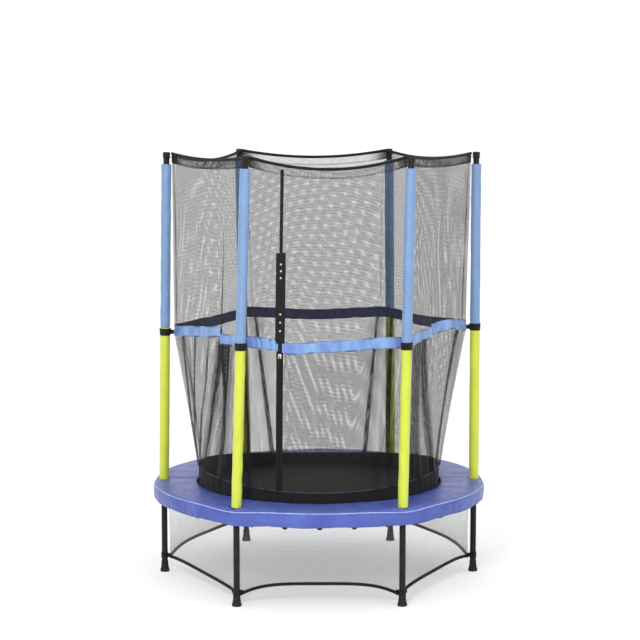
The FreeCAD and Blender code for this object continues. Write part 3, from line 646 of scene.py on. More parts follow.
def bunched(side, usual):
    """Thread share over a lower panel, with its cells pulled shut in the bunches."""
    tight = 0.66 if side in ("left_front", "right_front") else 0.42

    def thread(u, v):
        shut = 0 * u
        for foot, head, width in BUNCHES.get(side, []):
            shut = np.maximum(shut, bell(u, foot + (head - foot) * v, width) ** 0.5)
        return usual + (tight - usual) * np.clip(1.5 * shut - 0.4, 0, 1)
    return thread


UPPER_FOLDS = [("left_front", 0.035, 0.030, 0.012, 1.8), ("left_front", 0.90, 0.94, 0.018, 1.9),
               ("left_front", 0.96, 0.975, 0.012, 1.8), ("right_front", 0.94, 0.95, 0.014, 1.8),
               ("right_front", 0.84, 0.93, 0.020, 1.7), ("right_front", 0.06, 0.03, 0.014, 1.8),
               ("left_back", 0.95, 0.97, 0.014, 1.7), ("right_back", 0.05, 0.03, 0.014, 1.7),
               ("back", 0.04, 0.03, 0.012, 1.7), ("back", 0.96, 0.97, 0.012, 1.7)]


def folded(side, u, v, folds, depth):
    """Shares moved along a side, and depth off it, by the folds that cross it."""
    moved, off = u.copy(), 0 * u
    for name, foot, head, width, swing in folds:
        if name == side:
            spread = 0.75 + 0.25 * np.cos(math.pi * v)
            shift, rise = pleat(u, foot + (head - foot) * v, width * spread, swing, depth)
            moved, off = moved + shift, off + rise
    ends = np.clip(np.minimum(u, 1 - u) * 60, 0, 1)
    return u + (moved - u) * ends, off * ends


def lower_surface(side, angle, start, end):
    """Lower net from the foot band up to the middle band, between two shares of a side."""
    waves = random_waves(5, 0.0016, (2, 9), (0, 0.8))

    def surface(u, v):
        foot_share = start[0] + (end[0] - start[0]) * u
        head_share = start[1] + (end[1] - start[1]) * u
        span = foot_share + (head_share - foot_share) * v
        moved, off = folded(side, span, v, LOWER_FOLDS, 0.006)
        foot_share, head_share = foot_share + moved - span, head_share + moved - span
        turn = arc_angle(angle, foot_share)
        low = at(turn, NET_FOOT_R - 0.001, foot_band_top(turn) - 0.006)
        high = band_middle(side, head_share) - UP * (BAND_HALF - 0.005)
        point = low + (high - low) * v[..., None]
        bow = ripple(u, v, waves) * np.sin(math.pi * v) - 0.010 * np.sin(math.pi * v) * np.sin(math.pi * u)
        return point + side_outward(angle) * (bow + off)[..., None]
    return surface


def upper_surface(side, angle, start, end):
    """Upper net from the middle band up to the hem."""
    waves = random_waves(4, 0.0014, (1, 6), (0, 0.8))

    def surface(u, v):
        low_share = start[0] + (end[0] - start[0]) * u
        high_share = start[1] + (end[1] - start[1]) * u
        span = low_share + (high_share - low_share) * v
        moved, off = folded(side, span, v, UPPER_FOLDS, 0.004)
        low_share, high_share = low_share + moved - span, high_share + moved - span
        low = band_middle(side, low_share) + UP * (BAND_HALF - 0.005)
        high = chord(angle, high_share, NET_HEAD_R, HEAD_Z - ROPE_R - HEM_H + 0.004, HEAD_SAG[side])
        point = low + (high - low) * v[..., None]
        bow = ripple(u, v, waves) * np.sin(math.pi * v) - 0.006 * np.sin(math.pi * v) * np.sin(math.pi * u)
        return point + side_outward(angle) * (bow + off)[..., None]
    return surface


def share_at(x, angle, radius, z):
    start = chord(angle, 0.0, radius, z)[0]
    end = chord(angle, 1.0, radius, z)[0]
    return (x - start) / (end - start)


ZIP_FOOT = (math.degrees(math.asin(ZIP_FOOT_X / NET_FOOT_R)) + HALF_SIDE) / (2 * HALF_SIDE)
ZIP_WAIST = share_at(ZIP_WAIST_X, 0.0, NET_WAIST_R, WAIST_LOW)
ZIP_HEAD = share_at(ZIP_HEAD_X, 0.0, NET_HEAD_R, HEAD_Z)


def split_panels(side, low_share, high_share, low_half, high_half):
    """Shares of a side that a panel runs between: the front has one on each side of the door."""
    if side != "front":
        return [("", (0.0, 0.0), (1.0, 1.0))]
    return [("_left", (0.0, 0.0), (low_share - low_half, high_share - high_half)),
            ("_right", (low_share + low_half, high_share + high_half), (1.0, 1.0))]


def lower_net():
    height = WAIST_LOW - 0.45
    half = ZIP_TAPE_HALF - 0.002
    halves = (half / NET_FOOT_R, half / NET_WAIST_R)
    for side, angle in SIDES.items():
        for part, start, end in split_panels(side, ZIP_FOOT, ZIP_WAIST, *halves):
            width = (end[1] - start[1]) * NET_WAIST_R
            piece = knit(f"lower_net_{side}{part}", lower_surface(side, angle, start, end),
                         width * 1.02, height, bunched(side, LOWER_THREAD.get(side + part, USUAL_THREAD)),
                         "black_net")
            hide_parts("lower_net")
            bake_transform(piece)


def upper_net():
    for side, angle in SIDES.items():
        height = HEAD_Z - HEAD_SAG[side] * 0.67 - HEM_H - WAIST_TOP + 0.01
        for part, start, end in split_panels(side, ZIP_WAIST, ZIP_HEAD, 0.0005, 0.0005):
            width = (end[1] - start[1]) * NET_HEAD_R
            piece = knit(f"upper_net_{side}{part}", upper_surface(side, angle, start, end),
                         width, height, UPPER_THREAD.get(side + part, USUAL_THREAD), "black_net")
            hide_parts("upper_net")
            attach(piece, "frame")


# Middle band, hem and rope of the enclosure

def band_points(side, angle, start, end, columns=240, rows=11):
    """Ribbon along a side: broad soft bends, a few sharp creases, nearly straight edges."""
    u, v = np.meshgrid(np.linspace(0, 1, columns), np.linspace(0, 1, rows))
    share = start + (end - start) * u
    point = band_middle(side, share) + UP * ((2 * v - 1) * BAND_HALF)[..., None]
    bends = ripple(u, v, random_waves(4, 0.0014, (2, 7), (-0.3, 0.3)))
    creases = 0 * u
    for _ in range(9):
        middle, tilt = chance.uniform(0, 1), chance.uniform(-0.03, 0.03)
        sharp = chance.uniform(0.005, 0.016)
        creases = creases + chance.uniform(-0.0026, 0.0036) * bell(u + tilt * (v - 0.5), middle, sharp)
    edge = ripple(u, 0 * v, random_waves(3, 0.0005, (3, 9), (0, 0.1)))
    off = bends + creases + 0.0012 * np.sin(math.pi * v)
    return point + side_outward(angle) * off[..., None] + UP * edge[..., None]


def edge_stitches(name, line, outward, finish, body, pitch, length, width=0.7 * MM):
    """A row of sewn stitches just proud of a line of points, moving with a body."""
    run = spans(line, 0)
    steps = np.arange(pitch, run[-1] - pitch, pitch)
    middle = np.stack([np.interp(steps, run, line[:, axis]) for axis in range(3)], -1)
    ahead = np.stack([np.interp(steps + 0.001, run, line[:, axis]) for axis in range(3)], -1) - middle
    ahead /= np.linalg.norm(ahead, axis=1, keepdims=True)
    out = np.stack([np.interp(steps, run, outward[:, axis]) for axis in range(3)], -1)
    side = np.cross(ahead, out)
    ends = [-ahead * length / 2, side * width / 2, ahead * length / 2, -side * width / 2, out * width * 0.6]
    points = np.stack([middle + shift for shift in ends], 1) + (out * 0.0002)[:, None]
    base = np.arange(len(steps))[:, None] * 5
    faces = np.concatenate([base + np.array(corner) for corner in
                            ([0, 1, 4], [1, 2, 4], [2, 3, 4], [3, 0, 4])])
    row = mesh_object(name, points, faces, finish, points.reshape(-1, 3)[:, :2])
    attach(row, body)
    return row


def middle_band():
    half = 8 * MM / NET_WAIST_R
    for side, angle in SIDES.items():
        spots = [(0.0, 1.0)] if side != "front" else [(0.0, ZIP_WAIST - half), (ZIP_WAIST + half, 1.0)]
        for number, (start, end) in enumerate(spots):
            name = f"middle_band_{side}" + ("_left" if side == "front" and number == 0 else "")
            points = band_points(side, angle, start, end)
            piece = thicken(lattice(name, points, "blue_satin"), 1.2 * MM, lining="band_lining")
            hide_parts("middle_band")
            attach(piece, "frame")
            outward = np.broadcast_to(side_outward(angle), points[0].shape)
            for edge, row in (("low", 0), ("high", -1)):
                inset = points[row] * 0.88 + points[1 if row == 0 else -2] * 0.12
                edge_stitches(f"{name}_stitches_{edge}", inset, outward, "blue_satin",
                                              "frame", 4 * MM, 2.6 * MM)
            long = float(spans(points[4], 0)[-1])


def hem_surface(side, angle):
    def surface(u, v):
        below = ROPE_R * 0.4 + (HEM_H + ROPE_R) * (1 - v)
        point = chord(angle, u, NET_HEAD_R, HEAD_Z - below, HEAD_SAG[side])
        off = 0.0010 * np.sin(2 * math.pi * 19 * u) * (1 - v) + 0.0008
        return point + side_outward(angle) * off[..., None]
    return surface


# Share of a cell's width that its threads take up in each side's doubled hem
HEM_DENSITY = {"front": 0.26, "back": 0.20, "left_front": 0.46, "right_front": 0.46,
               "left_back": 0.34, "right_back": 0.34}


def bunched_hem(side):
    def thread(u, v):
        corner = np.maximum(bell(u, 0, 0.07), bell(u, 1, 0.07))
        return HEM_DENSITY[side] + (0.75 - HEM_DENSITY[side]) * corner
    return thread


def top_hem():
    for side, angle in SIDES.items():
        piece = knit(f"top_hem_{side}", hem_surface(side, angle), NET_HEAD_R, HEM_H + ROPE_R,
                     bunched_hem(side), "black_hem", (3.6 * MM, 4.0 * MM))
        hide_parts("top_hem")
        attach(piece, "frame")


def smoothed(path, width):
    """Closed path with its corners rounded off."""
    offsets = np.arange(-3 * width, 3 * width + 1)
    weights = np.exp(-(offsets / width) ** 2)
    weights /= weights.sum()
    return sum(weight * np.roll(path, offset, 0) for weight, offset in zip(weights, offsets))


def top_rope():
    path = []
    for side, angle in SIDES.items():
        share = np.linspace(0, 1, 260, endpoint=False)
        path.append(chord(angle, share, NET_HEAD_R, HEAD_Z, HEAD_SAG[side]))
    path = smoothed(np.concatenate(path), 3)
    strands = 3

    def twist(turn, run):
        return 0.88 + 0.12 * np.abs(np.sin(strands / 2 * (turn - run * 2 * math.pi / 0.030)))
    rope = tube("top_rope_braided", path, ROPE_R, "black_hem", 18, closed=True, relief=twist)
    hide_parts("top_rope")
    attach(rope, "frame")


# Door: zip below the middle band, flap with studs above
TAPE_OVER_FOOT, TAPE_OVER_HEAD = 4 * MM, 3 * MM
FLAP_HALF, SEAM_HALF, BAND_TAPE_HALF = 19 * MM, 6.5 * MM, 8.2 * MM
BAND_TAPE_BELOW, BAND_TAPE_LAP = 30 * MM, 6 * MM
SEAM_LAP = 4 * MM

def zip_axes():
    """The zip's two ends, and its directions up, sideways and out of the net."""
    turn = arc_angle(0.0, ZIP_FOOT)
    foot = at(turn, NET_FOOT_R, foot_band_top(turn) + 0.0006)
    head = chord(0.0, ZIP_WAIST, NET_WAIST_R, WAIST_LOW - 0.0006, WAIST_SAG)
    up = (head - foot) / np.linalg.norm(head - foot)
    out = np.cross(np.array([1.0, 0, 0]), up)
    out /= np.linalg.norm(out)
    return foot, head, up, np.cross(up, out), out


def zip_tape():
    foot, head, up, side, out = zip_axes()
    length = np.linalg.norm(head - foot)
    up_the_tape = np.linspace(-TAPE_OVER_FOOT, length + TAPE_OVER_HEAD, 90)
    v, u = np.meshgrid(up_the_tape, np.linspace(-1, 1, 13), indexing="ij")
    wave = 0.0010 * np.sin(v * 60) * np.abs(u) ** 2
    points = (foot + up * v[..., None] + side * (u * ZIP_TAPE_HALF)[..., None]
              + out * (wave - 0.0014 - 0.0006 * np.abs(u) ** 2)[..., None])
    piece = thicken(lattice("zip_tape_woven", points, "black_webbing"), 0.9 * MM, 0.0)
    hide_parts("zip_tape")
    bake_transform(piece)


def zip_teeth():
    """Two rows of moulded teeth that mesh alternately."""
    foot, head, up, side, out = zip_axes()
    length = np.linalg.norm(head - foot) - 0.006
    pitch = 3.0 * MM
    count = int(length / pitch)
    hand = np.tile([-1.0, 1.0], count)[:, None]
    middle = (foot + up * (0.003 + np.arange(2 * count)[:, None] * pitch / 2)
              + side * hand * 0.0011 + out * 0.0014)
    sizes = np.array([[x, y, z] for z in (-1, 1) for y in (-1, 1) for x in (-1, 1)], float)
    wide, tall, deep = 0.0019, 0.00065, 0.0007
    narrow = np.where(sizes[:, 2] > 0, 0.8, 1.0)
    shift = (side * (sizes[:, :1] * wide * narrow[:, None]) + up * (sizes[:, 1:2] * tall * narrow[:, None])
             + out * (sizes[:, 2:] * deep))
    points = middle[:, None] + shift[None]
    base = np.arange(2 * count)[:, None] * 8
    quads = ([4, 5, 7, 6], [0, 1, 5, 4], [1, 3, 7, 5], [3, 2, 6, 7], [2, 0, 4, 6], [0, 2, 3, 1])
    faces = np.concatenate([base + np.array(quad) for quad in quads])
    piece = mesh_object("zip_teeth_moulded", points, faces, "black_plastic", smooth=False)
    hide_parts("zip_teeth")
    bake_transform(piece)


def flap_points(low, high, half, lift, columns, rows, wave=0.0):
    z, across = np.meshgrid(np.linspace(low, high, rows), np.linspace(-1, 1, columns), indexing="ij")
    portion = (z - WAIST_LOW) / (HEAD_Z - WAIST_LOW)
    radius = NET_WAIST_R + (NET_HEAD_R - NET_WAIST_R) * portion
    share = ZIP_WAIST + (ZIP_HEAD - ZIP_WAIST) * portion
    start, end = leaned(-HALF_SIDE, radius, z), leaned(HALF_SIDE, radius, z)
    point = start + (end - start) * share[..., None]
    off = lift + wave * np.sin(z * 75) * across ** 2 - 0.0008 * across ** 2
    return point + np.array([1.0, 0, 0]) * (across * half)[..., None] - np.array([0, 1.0, 0]) * off[..., None]


def door():
    flap_low, flap_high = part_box("door_flap")[0].z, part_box("door_flap")[1].z + 0.006
    flap_cloth = flap_points(flap_low, flap_high, FLAP_HALF, 0.0034, 13, 90, 0.0006)
    flap = thicken(lattice("door_flap_webbing", flap_cloth, "black_webbing"), 1.6 * MM, 0.0)
    seam_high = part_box("door_seam")[1].z + 0.007
    seam_points = flap_points(flap_high - SEAM_LAP, seam_high, SEAM_HALF, 0.003, 7, 80)
    seam = thicken(lattice("door_seam_tape", seam_points, "black_webbing"), 1.2 * MM, 0.0)
    tape_points = flap_points(WAIST_LOW - BAND_TAPE_BELOW, flap_low + BAND_TAPE_LAP, BAND_TAPE_HALF,
                              0.0, 9, 30)
    tape = thicken(lattice("door_band_tape", tape_points, "black_webbing"), 1.6 * MM, 0.0)
    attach(tape, "frame")
    for piece, node in ((flap, "door_flap"), (seam, "door_seam")):
        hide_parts(node)
        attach(piece, "frame")


def twisted(turn, run):
    """A twisted cord with a lay of 6 mm."""
    return 0.85 + 0.15 * np.sin(run * 2 * math.pi / 0.006 + turn)


def foot_band():
    """Gathered black band between the net and the mat."""
    angle, v = np.meshgrid(np.linspace(0, 360, 540, endpoint=False), np.linspace(0, 1, 12))
    u = angle / 360
    puckers = (ripple(u, v, random_waves(4, 0.0009, (40, 90), (-0.5, 0.5)))
               + ripple(u, v, random_waves(4, 0.0016, (12, 36), (-0.4, 0.4))))
    fullness = np.sin(math.pi * np.clip(v, 0, 1)) * 0.6 + 0.4
    top = foot_band_top(angle)
    z = MAT_TOP + (top - MAT_TOP) * v
    points = at(angle, NET_FOOT_R - 0.001 + puckers * fullness - 0.002 * np.sin(math.pi * v), z)
    piece = thicken(lattice("foot_band", points, "black_webbing", wrap=True), 1.2 * MM)
    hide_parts("net_foot_band")
    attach(piece, "mat")
    turn = np.linspace(0, 360, 720, endpoint=False)
    path = at(turn, NET_FOOT_R - 0.0012, foot_band_top(turn) - 0.003)
    trim = tube("foot_band_trim", path, 3.4 * MM, "trim", 8, closed=True, relief=twisted)
    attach(trim, "mat")


# Mat and its elastic loops

def mat():
    radii = np.concatenate([np.linspace(0.02, 0.50, 40), np.linspace(0.508, MAT_R, 10)])
    around = 240
    angle, radius = np.meshgrid(np.linspace(0, 360, around, endpoint=False), radii)
    dish = -0.0015 * (1 - (radius / MAT_R) ** 2)
    pull = 0.0005 * np.cos(np.radians(angle) * 30) * bell(radius, MAT_R, 0.03)
    tops = at(angle, radius, MAT_TOP - 0.0003 + dish + pull)
    cloth = tops[..., :2]
    faces = lattice_faces(len(radii), around, wrap=True)
    points = np.concatenate([tops.reshape(-1, 3), [[0, 0, MAT_TOP - 0.0018]]])
    middle = len(points) - 1
    fan = np.stack([np.arange(around), np.roll(np.arange(around), -1)], -1)
    piece = mesh_object("mat_cloth", points, faces, "mat_fabric",
                        np.concatenate([cloth.reshape(-1, 2), [[0, 0]]]))
    built = bmesh.new()
    built.from_mesh(piece.data)
    built.verts.ensure_lookup_table()
    for here, ahead in fan:
        built.faces.new((built.verts[middle], built.verts[int(here)], built.verts[int(ahead)]))
    bmesh.ops.recalc_face_normals(built, faces=built.faces)
    built.to_mesh(piece.data)
    built.free()
    for face in piece.data.polygons:
        face.use_smooth = True
    thicken(piece, 1.6 * MM, -1.0 if piece.data.polygons[0].normal.z > 0 else 1.0)
    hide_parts("jumping_mat")
    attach(piece, "mat")
    for number, radius in enumerate((0.5155, 0.5195, 0.5405, 0.5445)):
        turn = np.linspace(0, 360, 721)
        line = at(turn, radius, MAT_TOP)
        edge_stitches(f"mat_stitches_{number}", line, np.broadcast_to(UP, line.shape),
                                      "black_hem", "mat", 5 * MM, 3.4 * MM)
    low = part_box("mat_webbing")[0].z
    angle, radius = np.meshgrid(np.linspace(0, 360, 360, endpoint=False), np.linspace(0.512, 0.5475, 8))
    under = at(angle, radius, low + 0.0012 + 0.0003 * np.cos(np.radians(angle) * 60))
    webbing = thicken(lattice("mat_edge_webbing", under, "black_webbing", wrap=True), 2.2 * MM, 0.0)
    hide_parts("mat_webbing")
    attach(webbing, "mat")


def elastic_loops():
    """Thirty loops of cord from a ring on the mat, over the steel ring, to a ball below it."""
    cord, over = 2.5 * MM, TUBE_R + 2.8 * MM
    ring_z = (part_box("ring_tube_front")[0].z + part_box("ring_tube_front")[1].z) / 2
    start_r, start_z, half = 580 * MM, 366.5 * MM, 5 * MM
    reach = math.hypot(SITE_R - start_r, start_z - ring_z)
    back = math.atan2(start_z - ring_z, start_r - SITE_R)
    touch = back - math.acos(over / reach)
    turns = np.linspace(math.radians(-62), touch, 12)
    outside = np.stack([SITE_R + over * np.cos(turns), ring_z + over * np.sin(turns)], -1)
    run = np.linspace(outside[-1], [start_r, start_z], 8)[1:]
    strand = np.concatenate([outside, run])
    bend = np.linspace(math.pi / 2, -math.pi / 2, 9)
    tip = np.stack([start_r - half * np.cos(bend), start_z + 0 * bend], -1)
    flat = np.concatenate([strand, tip[1:-1], strand[::-1]])
    straight = np.full(len(strand), half)
    aside = np.concatenate([straight, half * np.sin(bend)[1:-1], -straight])
    for name, angle in loop_places():
        out, level = radial(np.float64(angle)), along(np.float64(angle))
        path = flat[:, :1] * out + flat[:, 1:] * UP + aside[:, None] * level
        tangent = np.gradient(path, axis=0)

        def braid(turn, run):
            return 0.92 + 0.08 * np.sin(4 * turn + run * 2 * math.pi / 0.005) * np.sin(
                4 * turn - run * 2 * math.pi / 0.005)
        piece = tube(f"elastic_loop_{name}", path, cord, "black_elastic", 10,
                     across=np.cross(tangent, out + UP * 0.3), relief=braid)
        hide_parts("elastic_loops")
        inner = at(angle, start_r - 0.004, start_z)
        outer = at(angle, SITE_R - TUBE_R, ring_z + TUBE_R)
        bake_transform(piece)


def loop_places():
    for side, angle in SIDES.items():
        for number in range(5):
            yield f"{side}_{number + 1}", angle + (number - 2) * 12.0


# Padded cover of the ring
POST_HOLE_R = 23.5 * MM
PAD_MIDDLE, PAD_FALL = 396.5 * MM, 3.5 * MM     # its middle plane, and how far that falls outwards
PAD_RISE, PAD_CROWN, PAD_BELOW = 9.5 * MM, 1.5 * MM, 7.0 * MM
PAD_FLOOR = 385.5 * MM
PAD_LIP_R = 676 * MM                            # outside this the cover folds over the ring
RIDGE_DIP, RIDGE_DIP_SPREAD = 12 * MM, 9.0      # at each post, and its half width in degrees
SKIRT_TOP, SKIRT_H = 397.5 * MM, 56 * MM

def near_post(angle):
    """Degrees from the nearest post."""
    return np.abs(np.asarray(angle, float) % 60 - 30)


def ridge_dip(angle):
    """The cover's outer edge sits lower where the posts hold it down."""
    return RIDGE_DIP * np.exp(-(near_post(angle) / RIDGE_DIP_SPREAD) ** 2)


def pad_creases(x, y):
    """Soft dents and creases of vinyl over foam, from a fixed set of random strokes."""
    total = 0 * x
    for _ in range(110):
        angle, radius = chance.uniform(0, 360), chance.uniform(0.54, 0.70)
        heading, length = chance.uniform(0, math.pi), chance.uniform(0.02, 0.07)
        width, size = chance.uniform(0.004, 0.013), chance.uniform(-0.0016, 0.0012)
        centre = at(angle, radius, 0.0)
        dx, dy = x - centre[0], y - centre[1]
        run = dx * math.cos(heading) + dy * math.sin(heading)
        aside = -dx * math.sin(heading) + dy * math.cos(heading)
        total = total + size * np.exp(-(run / length) ** 2 - (aside / width) ** 2)
    return total


# Long creases of the cover, in plan: start, end, width, depth
LONG_CREASES = [((0.122, -0.715), (0.231, -0.490), 0.0032, -0.0034),
                ((0.231, -0.490), (0.268, -0.586), 0.0035, -0.0026),
                ((-0.300, -0.610), (-0.262, -0.520), 0.0040, 0.0024)]


def stroke(x, y, start, end, width):
    (ax, ay), (bx, by) = start, end
    length = math.hypot(bx - ax, by - ay)
    ux, uy = (bx - ax) / length, (by - ay) / length
    run = np.clip((x - ax) * ux + (y - ay) * uy, 0, length)
    away = np.hypot(x - ax - run * ux, y - ay - run * uy)
    return np.exp(-(away / width) ** 2)


def pad_height(angle, radius, reach):
    """Half the cover's thickness. reach runs from -1 at its inner edge to 1 at its outer one."""
    point = at(angle, radius, 0.0)
    x, y = point[..., 0], point[..., 1]
    edge = (1 - np.abs(reach) ** np.where(reach > 0, 14, 5)) ** 0.5
    seam = radius * np.radians(near_post(angle))
    plump = 1 - 0.30 * np.exp(-(seam / 0.006) ** 2) - 0.10 * np.exp(-(seam / 0.03) ** 2)
    post = np.hypot(radius * np.cos(np.radians(near_post(angle))) - SITE_R, seam)
    plump = plump * (1 - 0.25 * np.exp(-((post - 0.0235) / 0.014) ** 2))
    return edge * plump, x, y


def pad_cover():
    """Crowned ring of cover over foam, sewn at six radial seams and round the posts."""
    columns, rows = 1080, 46
    t = np.linspace(-1, 1, rows)
    reach = np.sign(t) * (1 - (1 - np.abs(t)) ** 1.7)
    angle, reach = np.meshgrid(np.linspace(0, 360, columns, endpoint=False) + 180.0 / columns, reach)
    middle_r, half_r = (PAD_IN_R + PAD_OUT_R) / 2, (PAD_OUT_R - PAD_IN_R) / 2
    radius = middle_r + half_r * reach
    full, x, y = pad_height(angle, radius, reach)
    inside = (reach + 1) / 2
    dip = ridge_dip(angle) * np.clip((radius - 0.675) / 0.022, 0, 1) ** 1.5
    middle = PAD_MIDDLE - PAD_FALL * inside - dip
    rise = PAD_RISE + PAD_CROWN * np.sin(math.pi * inside)
    relief = pad_creases(x, y) + ripple(angle / 360, inside, random_waves(6, 0.0006, (8, 30), (-1, 1)))
    for start, end, width, depth in LONG_CREASES:
        relief = relief + depth * stroke(x, y, start, end, width)
    top = middle + full * rise + relief * full
    low = middle - full * PAD_BELOW + 0.0015 * inside
    low = np.maximum(low, PAD_FLOOR)
    low = np.where(radius > PAD_LIP_R, np.minimum(low, middle - 0.001 * full), low)
    tops, lows = at(angle, radius, top), at(angle, radius, low)
    tops, lows, keep = with_post_holes(tops, lows)
    piece = closed_slab("pad_cover_vinyl", tops, lows, keep, "blue_vinyl")
    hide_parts("pad_cover", "pad_foam")
    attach(piece, "frame")
    for site, turn in SITES.items():
        post_hole_binding(site, turn)
    pad_piping()


def with_post_holes(tops, lows):
    """Cells to keep outside the post holes, with the points round each hole moved onto its circle."""
    keep = np.ones((tops.shape[0] - 1, tops.shape[1]), bool)
    ahead = np.roll(tops, -1, 1)
    cell = (tops[:-1] + tops[1:] + ahead[:-1] + ahead[1:]) / 4
    for turn in SITES.values():
        centre = leaned(turn, SITE_R, PAD_TOP) * (1, 1, 0)
        away = np.hypot(cell[..., 0] - centre[0], cell[..., 1] - centre[1])
        keep &= away > POST_HOLE_R
    point_kept = np.zeros(tops.shape[:2], bool)
    point_cut = np.zeros(tops.shape[:2], bool)
    for rows, columns in ((0, 0), (0, 1), (1, 0), (1, 1)):
        spread = np.roll(keep, columns, 1)
        point_kept[rows:rows + keep.shape[0]] |= spread
        point_cut[rows:rows + keep.shape[0]] |= ~spread
    rim = point_kept & point_cut
    for turn in SITES.values():
        centre = leaned(turn, SITE_R, PAD_TOP) * (1, 1, 0)
        for layer in (tops, lows):
            delta = layer[..., :2] - centre[:2]
            away = np.linalg.norm(delta, axis=-1)
            mine = rim & (away < 2 * POST_HOLE_R)
            layer[mine, :2] = centre[:2] + delta[mine] / away[mine][:, None] * POST_HOLE_R
    return tops, lows, keep


def closed_slab(name, tops, lows, keep, finish):
    """Closed body between two grids of points, without the cells that aren't kept."""
    rows, columns = tops.shape[:2]
    index = np.arange(rows * columns).reshape(rows, columns)
    wide = np.concatenate([index, index[:, :1]], 1)
    quads = np.stack([wide[:-1, :-1], wide[:-1, 1:], wide[1:, 1:], wide[1:, :-1]], -1)
    upper = quads[keep]
    lower = upper[:, ::-1] + rows * columns
    edges = np.concatenate([upper[:, [0, 1]], upper[:, [1, 2]], upper[:, [2, 3]], upper[:, [3, 0]]])
    key = np.sort(edges, 1)
    _, first, uses = np.unique(key, axis=0, return_index=True, return_counts=True)
    open_edges = edges[first[uses == 1]]
    wall = np.concatenate([open_edges[:, ::-1], open_edges + rows * columns], 1)
    faces = np.concatenate([upper, lower, wall])
    points = np.concatenate([tops.reshape(-1, 3), lows.reshape(-1, 3)])
    used = np.zeros(len(points), bool)
    used[faces.reshape(-1)] = True
    renumber = np.cumsum(used) - 1
    cloth = points[used][:, :2]
    return mesh_object(name, points[used], renumber[faces], finish, cloth)


def post_hole_binding(site, turn):
    """Elastic edge sewn round a post hole."""
    turns = np.linspace(0, 2 * math.pi, 72, endpoint=False)
    centre = leaned(turn, SITE_R, PAD_TOP) * (1, 1, 0)
    ring = np.stack([np.cos(turns), np.sin(turns), 0 * turns], -1) * (POST_HOLE_R - 0.0006)
    away = np.linalg.norm((centre + ring)[:, :2], axis=1)
    z = 0.4050 - 0.0035 * (away - PAD_IN_R) / (PAD_OUT_R - PAD_IN_R) - 0.004 - 0.0005 * np.cos(turns * 12)
    path = (centre + ring)[:, :2]
    piece = tube(f"post_hole_binding_{site}", np.concatenate([path, z[:, None]], 1), 1.8 * MM,
                 "black_elastic", 8, closed=True)
    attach(piece, "frame")


def pad_piping():
    """Welt sewn along the ridge, with its stitches, in a lighter blue that is a painted highlight along the
    ridge.
    """
    angle = np.linspace(0, 360, 1440, endpoint=False)
    path = at(angle, PAD_OUT_R - 0.0035, 0.3990 - ridge_dip(angle) - 0.0005)
    # The welt's lighter blue is a painted highlight along the ridge.
    piece = tube("pad_ridge_welt", path, 1.7 * MM, "painted_highlight_vinyl", 8, closed=True)
    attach(piece, "frame")
    line = at(np.append(angle, 360), PAD_OUT_R - 0.0085, 0.4022 - ridge_dip(np.append(angle, 360)))
    edge_stitches("pad_ridge_stitches", line, np.broadcast_to(UP, line.shape),
                  "painted_highlight_vinyl", "frame", 6 * MM, 4 * MM)


def pad_skirt():
    """Vinyl skirt hanging from the ridge over the ring."""
    angle, v = np.meshgrid(np.linspace(0, 360, 1440, endpoint=False), np.linspace(0, 1, 14))
    u = angle / 360
    folds = (ripple(u, v, random_waves(5, 0.0010, (18, 60), (-0.3, 0.3)))
             + ripple(u, v, random_waves(5, 0.0005, (70, 150), (-0.3, 0.3))))
    hang = 1 - v
    z_top = SKIRT_TOP - ridge_dip(angle)
    low = SKIRT_LOW + 0.001 - 0.7 * ridge_dip(angle) + 0.0015 * np.sin(2 * math.pi * 17 * u)
    z = low + (z_top - low) * v
    radius = (PAD_OUT_R - 0.0012 + folds * (0.25 + 0.75 * hang) - 0.003 * hang ** 2
              + 0.001 * np.sin(math.pi * v))
    points = at(angle, radius, z)
    piece = thicken(lattice("pad_skirt_vinyl", points, "blue_vinyl", wrap=True), 1.1 * MM)
    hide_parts("pad_skirt")
    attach(piece, "frame")
    line = at(np.append(angle[0], 360), np.append(radius[2], radius[2, :1]) + 0.0003,
              np.append(z[2], z[2, :1]))
    outward = radial(np.append(angle[0], 360))
    stitches = edge_stitches("pad_skirt_stitches", line, outward, "blue_vinyl", "frame",
                             6 * MM, 4 * MM)


# Foam sleeves, straps and ties: how many turns a strap takes with its lap
STRAP_TURNS, LEG_TIE_TURNS = 1.12, 1.15
STRAP_TAB, LEG_TIE_TAB, LEG_TIE_EAR = (15.5 * MM, 20 * MM), (10.5 * MM, 16.5 * MM), (18.5 * MM, 18 * MM)

